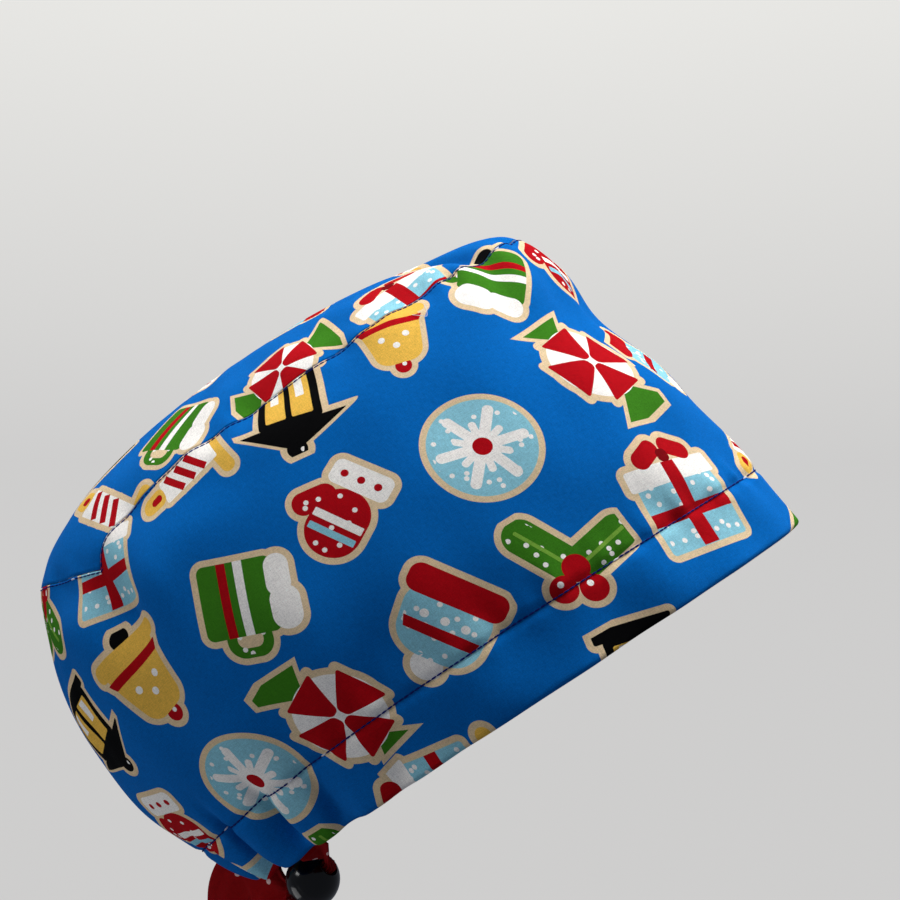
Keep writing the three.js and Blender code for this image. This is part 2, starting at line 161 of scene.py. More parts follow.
FINE_CREASES = (
    Crease("under the corner, right", -124, 2.8, 3.9, 0.5, 0.65, 0),
    Crease("beside the corner, right", -117, 3.4, 4.0, 0.6, -0.25, 0),
    Crease("under the corner, left", 123, 2.0, 3.95, 0.45, 0.28, 0),
    Crease("crown fold, right", -47, 2.2, 5.95, 0.55, 0.34, 5),
    Crease("crown ridge, right", -40, 3.0, 5.7, 0.6, -0.22, 5),
    Crease("crown fold, left", 52, 2.4, 5.9, 0.5, 0.25, -5),
    Crease("seam pucker, right", -70, 2.0, 5.75, 0.35, 0.14, 0),
    Crease("seam pucker, far right", -92, 2.2, 5.7, 0.4, 0.12, 4),
    Crease("hem drag, right", -100, 5.0, 1.5, 0.4, 0.16, 8),
    Crease("pouch fold, right", -150, 3.0, 3.0, 0.9, 0.2, 5),
    Crease("pouch fold, left", 148, 3.0, 2.8, 0.9, 0.2, -5),
    Crease("nape fold, back", -145.5, 1.9, 0.5, 0.66, 2.0, 5),
    Crease("nape fold, at the lock", -131.5, 1.8, 0.75, 0.5, 1.3, 4),
    Crease("nape ridge", -139, 2.6, 0.5, 0.6, -0.3, 5),
    Crease("nape fold, front", -122, 1.5, 0.3, 0.5, 0.4, 5),
    Crease("nape fold, far back", -159, 2.0, 0.4, 0.6, 0.6, 5),
)


@dataclass(frozen=True)
class Ripples:
    """Small waves in cloth, the same on each run.

    Attributes:
        waves: How many waves are added together.
        seed: Picks their directions and phases.
    """

    waves: int = 9
    seed: int = 4

    def height(self, across: np.ndarray, up: np.ndarray, size: float) -> np.ndarray:
        """Return the waves' height, about -1 to 1.

        Args:
            across: Place along the cloth, in metres.
            up: Place up the cloth, in metres.
            size: Length of a typical wave, in metres.

        Returns:
            The height at each place.
        """
        rng = np.random.default_rng(self.seed)
        total = np.zeros(np.broadcast(across, up).shape)
        for _ in range(self.waves):
            heading = rng.uniform(0, 2 * math.pi)
            pace = 2 * math.pi / (size * rng.uniform(0.7, 1.6))
            phase = rng.uniform(0, 2 * math.pi)
            total = total + np.sin(pace * (math.cos(heading) * across + math.sin(heading) * up) + phase)
        return total / math.sqrt(self.waves)


@dataclass(frozen=True)
class Climb:
    """The way up the cloth from the folded edge.

    Attributes:
        levels: Levels from 0 to the top.
        lengths: The length climbed at each level of each column, in metres.
    """

    levels: np.ndarray
    lengths: np.ndarray

    def level_at(self, height: float) -> np.ndarray:
        """Return the level that lies a given way up each column."""
        return np.array([np.interp(height, column, self.levels) for column in self.lengths.T])

    def height_at(self, level: np.ndarray) -> np.ndarray:
        """Return how far up each column its level lies."""
        pairs = zip(level, self.lengths.T)
        return np.array([np.interp(wanted, self.levels, column) for wanted, column in pairs])


@dataclass(frozen=True)
class CapForm:
    """The cap's shell: where each point of the cloth lies. Lengths are in metres."""

    front_reach: float = 0.128
    back_reach: float = 0.155
    half_width: float = 0.085
    crown_rise: float = 0.173
    worn_tilt: float = 33.5
    cloth: float = 0.0012
    seam_gap: float = 0.0003
    seam_spacing: float = 0.016
    hem_depth: float = 0.024
    fold_depth: float = 0.005
    tape_thick: float = 0.001
    tape_width: float = 0.016
    tape_clear: float = 0.0003
    exit_turn: float = -133.0
    exit_width: float = 0.017
    corner_turn: float = 127.0
    corner_start: float = 98.0
    corner_drop: float = 1.35
    corner_back_drop: float = 0.12
    corner_blunt: float = 0.03
    gather_pitch: float = 12.0
    gather_spread: float = 0.25
    gather_reach: float = 26.0
    gather_tall: float = 1.3
    gather_depth: float = 0.4
    gather_sharpness: float = 1.9
    pucker: float = 0.0006
    rumple: float = 0.0007
    stitch_groove: float = 0.0009
    groove_width: float = 0.0018
    edge_bulge: float = 0.43
    gather_lift: float = 0.8
    head_radius: float = 0.11
    level_height: float = 0.02
    rumple_size: float = 0.034
    pucker_width: float = 0.006
    pucker_stretch: float = 0.2
    hem_level: float = 1.15
    hem_spacing: float = 0.021
    crease_fade: float = 2.0
    fine_fade: float = 3.5
    measured_level: float = 3.0
    dense_from: float = -115.0
    dense_shift: float = 28.0

    @property
    def hem_thick(self) -> float:
        """Return the hem's thickness, with the tape's channel in it."""
        return 2 * self.cloth + self.tape_thick + 2 * self.tape_clear

    @property
    def edge_drop(self) -> float:
        """Return how far the folded edge bulges below its level."""
        return self.edge_bulge * self.hem_thick

    def columns(self, count: int) -> np.ndarray:
        """Return the turns of a number of columns, closer together where the hem gathers."""
        even = np.linspace(-180, 180, count, endpoint=False)
        pull = np.sin(np.radians(even - self.dense_from))
        return even - self.dense_shift * (pull - pull[0])

    def section(self, level: np.ndarray) -> np.ndarray:
        """Return the sections' eight numbers at any level, on a smooth curve through the rows.

        Args:
            level: Levels up the cloth.

        Returns:
            The eight numbers at each level.
        """
        table = np.array([row[1:] for row in SECTIONS], dtype=float)
        row = np.minimum(np.floor(level), TOP_LEVEL - 1).astype(int)
        share = (level - row)[..., None]
        before, start, end, after = (table[np.clip(row + step, 0, TOP_LEVEL)] for step in (-1, 0, 1, 2))
        leave = (end - before) / 2
        arrive = (after - start) / 2
        bend = 3 * (end - start) - 2 * leave - arrive
        return start + share * (leave + share * (bend + share * (2 * (start - end) + leave + arrive)))

    def smooth(self, turn: np.ndarray, level: np.ndarray) -> np.ndarray:
        """Return points of the smooth shell, as (left, back, up) on a level hem.

        Args:
            turn: Degrees from the forehead.
            level: Levels up the cloth.

        Returns:
            The points.
        """
        turn, level = np.broadcast_arrays(np.asarray(turn, float), np.asarray(level, float))
        front, back, side, mid, rise_front, rise_side, rise_back, boxy = np.moveaxis(
            self.section(level), -1, 0
        )
        angle = np.radians(turn)
        across = (np.sin(angle) + boxy * np.sin(3 * angle)) / (1 - boxy)
        along = (np.cos(angle) - boxy * np.cos(3 * angle)) / (1 - boxy)
        ahead = np.cos(angle) >= 0
        middle = mid * self.back_reach
        reach = np.where(ahead, front * self.front_reach + middle, back * self.back_reach - middle)
        end_rise = np.where(ahead, rise_front, rise_back)
        rise = rise_side + (end_rise - rise_side) * np.cos(angle) ** 2
        return np.stack(
            [side * self.half_width * across, middle - reach * along, rise * self.crown_rise], axis=-1
        )

    def outward(self, turn: np.ndarray, level: np.ndarray) -> np.ndarray:
        """Return the smooth shell's outward directions.

        Args:
            turn: Degrees from the forehead.
            level: Levels up the cloth.

        Returns:
            Unit directions.
        """
        step = 0.02
        pole_clear, pole_blend = 0.05, 0.3
        turn, level = np.broadcast_arrays(np.asarray(turn, float), np.asarray(level, float))
        held = np.minimum(level, TOP_LEVEL - pole_clear)
        around = self.smooth(turn + step, held) - self.smooth(turn - step, held)
        climb = self.smooth(turn, held + step) - self.smooth(turn, np.maximum(held - step, 0))
        out = unit(np.cross(around, climb))
        flat = (level - (TOP_LEVEL - pole_blend)) / (pole_blend - pole_clear)
        flat = np.clip(flat, 0, 1)[..., None]
        return unit(out * (1 - flat) + np.array([0.0, 0.0, 1.0]) * flat)

    def crease_depth(self, turn: np.ndarray, level: np.ndarray) -> np.ndarray:
        """Return how far the main creases and the gathers push the cloth in.

        Args:
            turn: Degrees from the forehead.
            level: Levels up the cloth.

        Returns:
            The depths, in metres.
        """
        depth = np.zeros(np.broadcast(turn, level).shape)
        for crease in CREASES + FINE_CREASES:
            sideways = signed_turn(turn - crease.turn - crease.lean * (level - crease.level)) / crease.wide
            depth += crease.depth * bell(sideways) * bell((level - crease.level) / crease.tall)
        from_exit = signed_turn(turn - self.exit_turn) / (1 + self.gather_spread * level)
        fades = bell(from_exit / self.gather_reach) * bell(level / self.gather_tall)
        wave = (0.5 + 0.5 * np.cos(2 * math.pi * from_exit / self.gather_pitch)) ** self.gather_sharpness
        depth += self.gather_depth * fades * (2 * wave - self.gather_lift)
        return depth * self.fold_depth

    def fine_depth(self, turn: np.ndarray, level: np.ndarray) -> np.ndarray:
        """Return how far the puckers at the seams and the soft rumples push the cloth in.

        Args:
            turn: Degrees from the forehead.
            level: Levels up the cloth.

        Returns:
            The depths, in metres.
        """
        around = np.radians(signed_turn(turn)) * self.head_radius
        up = level * self.level_height

        def puckers(distance: np.ndarray, size: float, seed: int) -> np.ndarray:
            """Return the puckers along one line of stitches."""
            ripples = Ripples(seed=seed).height(around, self.pucker_stretch * up, size)
            return self.pucker * bell(distance / self.pucker_width) * ripples

        rumples = self.rumple * Ripples(seed=8).height(around, up, self.rumple_size)
        at_seam = puckers((level - self.seam_level(turn)) * self.seam_spacing, 0.011, 2)
        at_hem = puckers((level - self.hem_level) * self.hem_spacing, 0.010, 5)
        return rumples + at_seam + at_hem

    def shell(self, turn: np.ndarray, level: np.ndarray, inside: np.ndarray | float = 0.0) -> np.ndarray:
        """Return points of the creased shell, a given distance inside its outer face.

        Args:
            turn: Degrees from the forehead.
            level: Levels up the cloth.
            inside: How far inside the outer face, in metres.

        Returns:
            The points.
        """
        below = TOP_LEVEL - level
        depth = self.crease_depth(turn, level) * np.minimum(1, below / self.crease_fade)
        depth = depth + self.fine_depth(turn, level) * np.clip(below / self.fine_fade, 0, 1) ** 1.5
        push = np.asarray(inside + depth)[..., None]
        return self.smooth(turn, level) - self.outward(turn, level) * push

    def seam_level(self, turn: np.ndarray) -> np.ndarray:
        """Return the level of the crown seam, which drops to a corner on each side of the pouch.

        Args:
            turn: Degrees from the forehead.

        Returns:
            The level at each turn.
        """
        away = np.abs(signed_turn(np.asarray(turn, float)))
        keep = 1 - self.corner_blunt

        def rounded(share: np.ndarray) -> np.ndarray:
            """Return the drop along the quarter round."""
            return self.corner_drop * (1 - np.sqrt(1 - keep * share * share))

        ahead = np.clip((away - self.corner_start) / (self.corner_turn - self.corner_start), 0, 1)
        behind = np.clip((180 - away) / (180 - self.corner_turn), 0, 1)
        corner = rounded(np.asarray(1.0))
        back = self.corner_back_drop + (corner - self.corner_back_drop) * behind * behind
        return SEAM_LEVEL - np.where(away <= self.corner_turn, rounded(ahead), back)

    def climbed(self, turn: np.ndarray) -> Climb:
        """Measure the way up the cloth from the folded edge at each column."""
        levels = np.linspace(0, TOP_LEVEL, 401)
        points = self.smooth(turn[None, :], levels[:, None])
        steps = np.linalg.norm(np.diff(points, axis=0), axis=-1)
        return Climb(levels, np.vstack([np.zeros(len(turn)), np.cumsum(steps, axis=0)]))

    def level_above(self, turn: np.ndarray, distance: float) -> np.ndarray:
        """Return the level that lies a given way up the cloth at each column."""
        return self.climbed(turn).level_at(distance)

    def edge_down(self, turn: np.ndarray) -> np.ndarray:
        """Return the directions straight down the cloth at the folded edge."""
        zero = np.zeros_like(turn)
        return unit(self.smooth(turn, zero) - self.smooth(turn, zero + 0.2))

    def around(self, turn: np.ndarray) -> np.ndarray:
        """Return how far round the cap each column lies, from the middle of the back."""
        dense = np.linspace(-180, 180, 1441)
        points = self.smooth(dense, np.full_like(dense, self.measured_level))
        lengths = np.concatenate([[0], np.cumsum(np.linalg.norm(np.diff(points, axis=0), axis=1))])
        return np.interp(turn, dense, lengths)

    def worn(self, points: np.ndarray) -> np.ndarray:
        """Lean points or directions of the level cap back, as it is worn.

        Args:
            points: Points or directions, as (left, back, up) on a level hem.

        Returns:
            The same as the frame has them.
        """
        tilt = math.radians(self.worn_tilt)
        left, back, up = np.moveaxis(points, -1, 0)
        return np.stack(
            [left, back * math.cos(tilt) + up * math.sin(tilt), -back * math.sin(tilt) + up * math.cos(tilt)],
            axis=-1,
        )

    def slot_ends(self) -> tuple[float, float]:
        """Return the turns of the two ends of the slot that the tape leaves by."""
        turns = np.array([self.exit_turn - 0.5, self.exit_turn + 0.5])
        one_degree = float(np.linalg.norm(np.diff(self.smooth(turns, np.zeros(2)), axis=0)))
        half = self.exit_width / 2 / one_degree
        return self.exit_turn - half, self.exit_turn + half


class Ends(Enum):
    """How the first and last row of a surface are closed."""

    OPEN = "open"
    FAN = "to a middle point"
    LADDER = "straight across, from one face of a strip to the other"


def cloth_places(across: np.ndarray, along: np.ndarray) -> np.ndarray:
    """Return cloth coordinates from the places across a strip and along it."""
    return np.stack(np.broadcast_arrays(across[None, :], along[:, None]), axis=-1)


@dataclass
class Surface:
    """Rows of points that are skinned into one closed mesh.

    Attributes:
        rows: Points, shaped (rows, columns, 3).
        uv: Cloth coordinates in metres, shaped (rows + 1, columns + 1, 2).
        row_loop: Whether the last row joins the first.
        ends: How the first and last row are closed.
        slots: Material slot of each row of faces.
    """

    rows: np.ndarray
    uv: np.ndarray
    row_loop: bool
    ends: Ends = Ends.OPEN
    slots: np.ndarray | None = None

    def build(self, name: str, materials: Sequence[bpy.types.Material]) -> bpy.types.Object:
        """Make the mesh object.

        Args:
            name: The object's name.
            materials: Its materials, one for each slot.

        Returns:
            The new object, with its faces pointing outwards.
        """
        count, around = self.rows.shape[:2]
        last = count if self.row_loop else count - 1
        row, column = np.meshgrid(np.arange(last), np.arange(around), indexing="ij")
        above, beside = (row + 1) % count, (column + 1) % around
        corners = [(row, column), (row, beside), (above, beside), (above, column)]
        quads = np.stack([r * around + c for r, c in corners], axis=-1).reshape(-1, 4)
        spots = [(row, column), (row, column + 1), (row + 1, column + 1), (row + 1, column)]
        quad_uv = np.stack([self.uv[r, c] for r, c in spots], axis=-2).reshape(-1, 4, 2)
        points = self.rows.reshape(-1, 3)
        faces, face_uv = quads.tolist(), quad_uv.tolist()
        slots = [0] * len(faces) if self.slots is None else np.repeat(self.slots[:last], around).tolist()
        if self.ends is Ends.LADDER:
            half = around // 2
            for index, flip in ((0, True), (count - 1, False)):
                for j in range(half - 1):
                    rung = [j, j + 1, around - 2 - j, around - 1 - j]
                    rung = rung[::-1] if flip else rung
                    faces.append([index * around + corner for corner in rung])
                    face_uv.append([self.uv[index, corner].tolist() for corner in rung])
                    slots.append(slots[0])
        if self.ends is Ends.FAN:
            for index, flip in ((0, True), (count - 1, False)):
                points = np.vstack([points, self.rows[index].mean(axis=0)])
                middle_uv = self.uv[index, :-1].mean(axis=0).tolist()
                for j in range(around):
                    k = (j + 1) % around
                    pair = [(index * around + j, j), (index * around + k, j + 1)]
                    if flip:
                        pair.reverse()
                    faces.append([pair[0][0], pair[1][0], len(points) - 1])
                    face_uv.append([self.uv[index, c].tolist() for _, c in pair] + [middle_uv])
                    slots.append(slots[0] if index == 0 else slots[last * around - 1])
        first, second, third, fourth = (points[[face[i] for face in faces]] for i in (0, 1, 2, -1))
        normals = np.cross(second, third) + np.cross(third, fourth)
        if np.einsum("ij,ij->i", first, normals).sum() < 0:
            faces = [face[::-1] for face in faces]
            face_uv = [corner[::-1] for corner in face_uv]
        mesh = bpy.data.meshes.new(name)
        mesh.from_pydata(points.tolist(), [], faces)
        layer = mesh.uv_layers.new(name="cloth")
        layer.data.foreach_set("uv", [value for corner in face_uv for pair in corner for value in pair])
        mesh.polygons.foreach_set("use_smooth", [True] * len(faces))
        for material in materials:
            mesh.materials.append(material)
        mesh.polygons.foreach_set("material_index", slots)
        mesh.update()
        thing = bpy.data.objects.new(name, mesh)
        bpy.context.scene.collection.objects.link(thing)
        return thing


def add_node(
    tree: bpy.types.NodeTree, kind: str, inputs: dict | None = None, **settings: object
) -> bpy.types.Node:
    """Add a node, set its options, and link or set its inputs.

    Args:
        tree: The tree that it goes into.
        kind: The node's type.
        inputs: Sockets or values by the input's name or number.
        settings: The node's own options.

    Returns:
        The new node.
    """
    made = tree.nodes.new(kind)
    for key, value in settings.items():
        setattr(made, key, value)
    for key, value in (inputs or {}).items():
        if isinstance(value, bpy.types.NodeSocket):
            tree.links.new(value, made.inputs[key])
        else:
            made.inputs[key].default_value = value
    return made


class Bench:
    """Lays out the nodes of one material."""

    def __init__(self, name: str) -> None:
        """Start an empty material.

        Args:
            name: The material's name.
        """
        self.material = bpy.data.materials.new(name)
        self.material.use_nodes = True
        self.tree = self.material.node_tree
        self.tree.nodes.clear()

    def node(self, kind: str, inputs: dict | None = None, **settings: object) -> bpy.types.Node:
        """Add a shader node, named without its ShaderNode prefix."""
        return add_node(self.tree, "ShaderNode" + kind, inputs, **settings)

    def math(self, operation: str, *values: object) -> bpy.types.NodeSocket:
        """Return the result of a Math node on sockets or numbers."""
        return self.node("Math", dict(enumerate(values)), operation=operation).outputs[0]

    def vector(self, operation: str, *values: object) -> bpy.types.NodeSocket:
        """Return the result of a Vector Math node on sockets or triples."""
        made = self.node("VectorMath", dict(enumerate(values)), operation=operation)
        return made.outputs["Value" if operation == "LENGTH" else "Vector"]

    def scaled(self, vector: bpy.types.NodeSocket, factor: object) -> bpy.types.NodeSocket:
        """Return a vector times a number."""
        return self.node("VectorMath", {0: vector, "Scale": factor}, operation="SCALE").outputs[0]

    def turned(self, vector: bpy.types.NodeSocket, angle: object) -> bpy.types.NodeSocket:
        """Return a vector turned round Z."""
        inputs = {"Vector": vector, "Angle": angle}
        return self.node("VectorRotate", inputs, rotation_type="Z_AXIS").outputs[0]

    def part(self, vector: bpy.types.NodeSocket, axis: str) -> bpy.types.NodeSocket:
        """Return one part of a vector."""
        return self.node("SeparateXYZ", {"Vector": vector}).outputs[axis]

    def grey(self, level: bpy.types.NodeSocket) -> bpy.types.NodeSocket:
        """Return a number as a colour."""
        return self.node("CombineXYZ", dict.fromkeys("XYZ", level)).outputs[0]

    def noise(
        self, place: bpy.types.NodeSocket, scale: float, detail: float, dimensions: str = "2D"
    ) -> bpy.types.NodeSocket:
        """Return soft noise between 0 and 1."""
        inputs = {"Vector": place, "Scale": scale, "Detail": detail}
        return self.node("TexNoise", inputs, noise_dimensions=dimensions).outputs["Fac"]

    def cells(self, inputs: dict, feature: str = "F1") -> bpy.types.Node:
        """Return a flat Voronoi node."""
        return self.node("TexVoronoi", inputs, voronoi_dimensions="2D", feature=feature)

    def bump(self, height: bpy.types.NodeSocket, strength: float, distance: float) -> bpy.types.NodeSocket:
        """Return the normal of a surface with this height."""
        inputs = {"Height": height, "Strength": strength, "Distance": distance}
        return self.node("Bump", inputs).outputs[0]

    def mix(self, share: object, first: object, second: object, blend: str = "MIX") -> bpy.types.NodeSocket:
        """Return two colours mixed."""
        made = self.node(
            "Mix", {"Factor": share, 6: first, 7: second}, data_type="RGBA", blend_type=blend
        )
        return made.outputs[2]

    def lookup(self, index: bpy.types.NodeSocket, rows: Sequence[Colour]) -> bpy.types.NodeSocket:
        """Return row after row of a table of colours as index goes from 0 to 1.

        Args:
            index: Which row it is, 0 to 1.
            rows: The colours.

        Returns:
            The colour.
        """
        made = self.node("ValToRGB", {"Fac": index})
        ramp = made.color_ramp
        ramp.interpolation = "CONSTANT"
        for i, row in enumerate(rows):
            stop = ramp.elements[i] if i < 2 else ramp.elements.new(i / len(rows))
            stop.position = i / len(rows)
            stop.color = (*row, 1)
        return made.outputs["Color"]

    def numbers(
        self, index: bpy.types.NodeSocket, rows: Sequence[Colour], span: float = 100.0
    ) -> bpy.types.NodeSocket:
        """Return row after row of a table of three numbers, each within half the span of 0.

        Args:
            index: Which row it is, 0 to 1.
            rows: The table.
            span: The widest spread of its numbers.

        Returns:
            The three numbers, as a vector.
        """
        shares = [tuple(value / span + 0.5 for value in row) for row in rows]
        half = (-span / 2,) * 3
        return self.vector("MULTIPLY_ADD", self.lookup(index, shares), (span,) * 3, half)

    def finish(self, shader: bpy.types.Node) -> bpy.types.Material:
        """Join the shader to the output.

        Args:
            shader: The last shader node.

        Returns:
            The finished material.
        """
        self.node("OutputMaterial", {"Surface": shader.outputs[0]})
        return self.material


class Ink(Enum):
    """The colours of the printed cotton."""

    BLUE = linear(1, 100, 181)
    BISCUIT = linear(226, 200, 160)
    WHITE = linear(248, 243, 236)
    RED = linear(176, 8, 20)
    DARK_RED = linear(120, 4, 12)
    GREEN = linear(58, 122, 26)
    LEAF = linear(120, 168, 60)
    ICE = linear(140, 200, 216)
    YELLOW = linear(236, 186, 78)
    BLACK = linear(4, 4, 5)


class Mark(NamedTuple):
    """A rounded bar of a printed motif, in millimetres and degrees from the motif's middle.

    taper narrows the bar towards its far end: 1 brings it to a point.
    """

    across: float
    up: float
    turn: float
    half_wide: float
    half_tall: float
    corner: float
    taper: float
    ink: Ink


def disc(across: float, up: float, radius: float, ink: Ink) -> Mark:
    """Return a round mark."""
    return Mark(across, up, 0, radius, radius, radius, 0, ink)


MITTEN = (
    Mark(9.5, 0.5, -38, 3.7, 7, 3.6, 0, Ink.RED),
    Mark(0, 4, 0, 8.6, 11, 8.4, 0, Ink.RED),
    Mark(0, 3.5, 0, 7.9, 1.3, 0.3, 0, Ink.WHITE),
    Mark(0, 7.8, 0, 7.5, 1.1, 0.3, 0, Ink.ICE),
    Mark(0, -11, 0, 9.6, 4.2, 2.4, 0, Ink.WHITE),
    *(disc(across, -11, 1.2, Ink.RED) for across in (-5.5, 0, 5.5)),
)
PARCEL = (
    Mark(0, -4, 0, 13, 11, 1.2, 0, Ink.ICE),
    Mark(0, 8.5, 0, 14.8, 3.2, 1, 0, Ink.WHITE),
    Mark(0, -4, 0, 13, 2, 0.1, 0, Ink.RED),
    Mark(0, -1.6, 0, 2.4, 13.2, 0.2, 0, Ink.RED),
    *(Mark(5.4 * side, 15, -28 * side, 5.4, 2.9, 2.8, 0, Ink.RED) for side in (-1, 1)),
    Mark(0, 13.6, 0, 2.1, 2.1, 1.6, 0, Ink.DARK_RED),
)
BELL = (
    disc(0, -14, 3.2, Ink.BLACK),
    disc(0, 13.6, 2.8, Ink.RED),
    Mark(0, 1, 0, 9.4, 11.4, 4, 0.4, Ink.YELLOW),
    Mark(0, -9.8, 0, 14, 2.7, 2.6, 0, Ink.YELLOW),
    Mark(0, -4.4, 0, 11, 1.5, 0.3, 0.08, Ink.RED),
    *(disc(across, up, 1.2, Ink.WHITE) for across, up in ((-4.2, 1.5), (0, 5.2), (4.2, 1.5))),
)
FLAKE = (
    disc(0, 0, 16.5, Ink.ICE),
    *(Mark(0, 0, turn, 1.7, 14.5, 1.6, 0, Ink.WHITE) for turn in (0, 60, 120)),
    *(Mark(0, 0, turn, 1.2, 9, 1.1, 0, Ink.WHITE) for turn in (30, 90, 150)),
    disc(0, 0, 3, Ink.RED),
)
WEDGES = ((0, 7, 0), (7, 0, -90), (0, -7, 180), (-7, 0, 90))
SWEET = (
    *(Mark(17 * side, 0, -90 * side, 7, 5, 0.8, -0.8, Ink.GREEN) for side in (-1, 1)),
    disc(0, 0, 13, Ink.WHITE),
    *(Mark(across, up, turn, 4.4, 5.6, 1, -0.85, Ink.RED) for across, up, turn in WEDGES),
)
LANTERN = (
    disc(0, 16.5, 3, Ink.BLACK),
    Mark(0, 11.5, 0, 9.5, 4.2, 0.5, 0.8, Ink.BLACK),
    Mark(0, -2.5, 0, 9.6, 10, 1, 0, Ink.BLACK),
    *(Mark(across, -2.5, 0, 3.1, 8, 0.6, 0, Ink.YELLOW) for across in (-4, 4)),
    *(Mark(across, -6, 0, 1.3, 4, 0.3, 0, Ink.WHITE) for across in (-4, 4)),
    Mark(0, -14, 0, 12, 2, 0.7, 0, Ink.BLACK),
)
MUG = (
    Mark(12.4, -2, 0, 5.8, 7.4, 5.4, 0, Ink.GREEN),
    Mark(12.4, -2, 0, 2.7, 4.2, 2.6, 0, Ink.BISCUIT),
    Mark(0, -3, 0, 11.4, 12, 2.4, 0, Ink.GREEN),
    Mark(-5, 10.4, 0, 6.4, 3.8, 3.7, 0, Ink.WHITE),
    Mark(5, 11.4, 0, 6.6, 4.6, 4.4, 0, Ink.WHITE),
    Mark(0, -1.5, 0, 11.4, 1.5, 0.1, 0, Ink.WHITE),
    Mark(0, -7, 0, 11.4, 1.5, 0.1, 0, Ink.RED),
)
HOLLY = (
    *(Mark(8.5 * side, 5, -52 * side, 5.6, 12.5, 5.4, 0.25, Ink.GREEN) for side in (-1, 1)),
    *(Mark(8.5 * side, 5, -52 * side, 0.6, 9.5, 0.5, 0, Ink.LEAF) for side in (-1, 1)),
    *(disc(across, up, 4.3, Ink.RED) for across, up in ((-4.4, -7.5), (4.4, -7.5), (0, -1.2))),
    *(disc(across, -6, 1, Ink.WHITE) for across in (-5.4, 3.4)),
)
CANDLE = (
    Mark(0, -14.5, 0, 13, 2.6, 2.5, 0, Ink.YELLOW),
    Mark(0, -2, 0, 5, 12, 0.8, 0, Ink.WHITE),
    *(Mark(0, up, 28, 5.2, 1.3, 0.2, 0, Ink.RED) for up in (4.5, -0.8, -6)),
    Mark(0, 14.6, 0, 3.6, 5, 3, 0.45, Ink.YELLOW),
    Mark(0, 13.4, 0, 1.5, 2.4, 1.4, 0.4, Ink.RED),
)
HAT = (
    disc(0, 15, 4.7, Ink.WHITE),
    Mark(0, 2, 0, 12.4, 11, 8, 0.18, Ink.ICE),
    Mark(0, 4.5, 0, 10.6, 1.7, 0.2, 0.05, Ink.RED),
    *(disc(across, 0.2, 1.3, Ink.WHITE) for across in (-6, 0, 6)),
    Mark(0, -9, 0, 14.4, 4.4, 3.4, 0, Ink.RED),
)
MOTIFS = (MITTEN, LANTERN, HOLLY, FLAKE, BELL, PARCEL, SWEET, MUG, CANDLE, HAT)
NO_MARK = Mark(49, 49, 0, 0, 0, 0, 0, Ink.BLUE)


class ClothFace(Enum):
    """Which side of the printed cloth shows."""

    RIGHT = "right side"
    WRONG = "wrong side"


@dataclass(frozen=True)
class PlainWeave:
    """Plain-weave cotton: its threads and its finish, without a colour.

    Attributes:
        thread: Distance between threads of the weave, in metres.
        roughness: How matt the cloth is.
        sheen: How much the fibres light up at a glance.
        shine: How strongly the cloth mirrors light.
        slub_pace: Streaks to the metre along a thread.
        thread_pace: Streaks to the metre across the threads.
    """

    thread: float = 0.00045
    roughness: float = 0.86
    sheen: float = 0.01
    shine: float = 0.03
    slub_pace: float = 420.0
    thread_pace: float = 2300.0

    def finish(
        self, bench: Bench, cloth: bpy.types.NodeSocket, colour: bpy.types.NodeSocket
    ) -> bpy.types.Material:
        """Weave the threads into a colour and close the material.

        Args:
            bench: The material's bench.
            cloth: The place on the cloth, in metres.
            colour: The colour of the print or the dye.

        Returns:
            The finished material.
        """
        inputs = {
            "Base Color": bench.mix(1.0, colour, self.slubs(bench, cloth), "MULTIPLY"),
            "Roughness": self.roughness,
            "Sheen Weight": self.sheen,
            "Sheen Roughness": 0.5,
            "Specular IOR Level": self.shine,
            "Normal": self.weave(bench, cloth),
        }
        return bench.finish(bench.node("BsdfPrincipled", inputs))

    def slubs(self, bench: Bench, cloth: bpy.types.NodeSocket) -> bpy.types.NodeSocket:
        """Return the slight unevenness of the threads, as a colour to multiply by.

        Args:
            bench: The material's bench.
            cloth: The place on the cloth, in metres.

        Returns:
            The colour.
        """
        along, across = self.slub_pace, self.thread_pace
        stretches = ((along, across, 1.0), (across, along, 1.0))
        streaks = [bench.noise(bench.vector("MULTIPLY", cloth, stretch), 1.0, 1.0) for stretch in stretches]
        grain = bench.noise(cloth, 2600.0, 0.0)
        patch = bench.noise(cloth, 60.0, 2.0)
        together = bench.math("MULTIPLY_ADD", grain, 1.2, bench.math("ADD", *streaks))
        together = bench.math("MULTIPLY_ADD", patch, 0.3, together)
        level = bench.math("MULTIPLY_ADD", together, 0.27, 0.53)
        return bench.grey(bench.math("MULTIPLY_ADD", self.crossings(bench, cloth), 0.17, level))

    def crossings(self, bench: Bench, cloth: bpy.types.NodeSocket) -> bpy.types.NodeSocket:
        """Return the height of the threads as they pass over and under, -1 to 1.

        Args:
            bench: The material's bench.
            cloth: The place on the cloth, in metres.

        Returns:
            The height.
        """
        threads = bench.scaled(cloth, 2 * math.pi / self.thread)
        warp, weft = (bench.math("SINE", bench.part(threads, axis)) for axis in "XY")
        return bench.math("MULTIPLY", warp, weft)

    def weave(self, bench: Bench, cloth: bpy.types.NodeSocket) -> bpy.types.NodeSocket:
        """Return the normal of the woven surface.

        Args:
            bench: The material's bench.
            cloth: The place on the cloth, in metres.

        Returns:
            The normal.
        """
        rumple = bench.noise(cloth, 420.0, 2.0)
        height = bench.math("MULTIPLY_ADD", rumple, 2.2, self.crossings(bench, cloth))
        return bench.bump(height, 0.5, 0.00012)


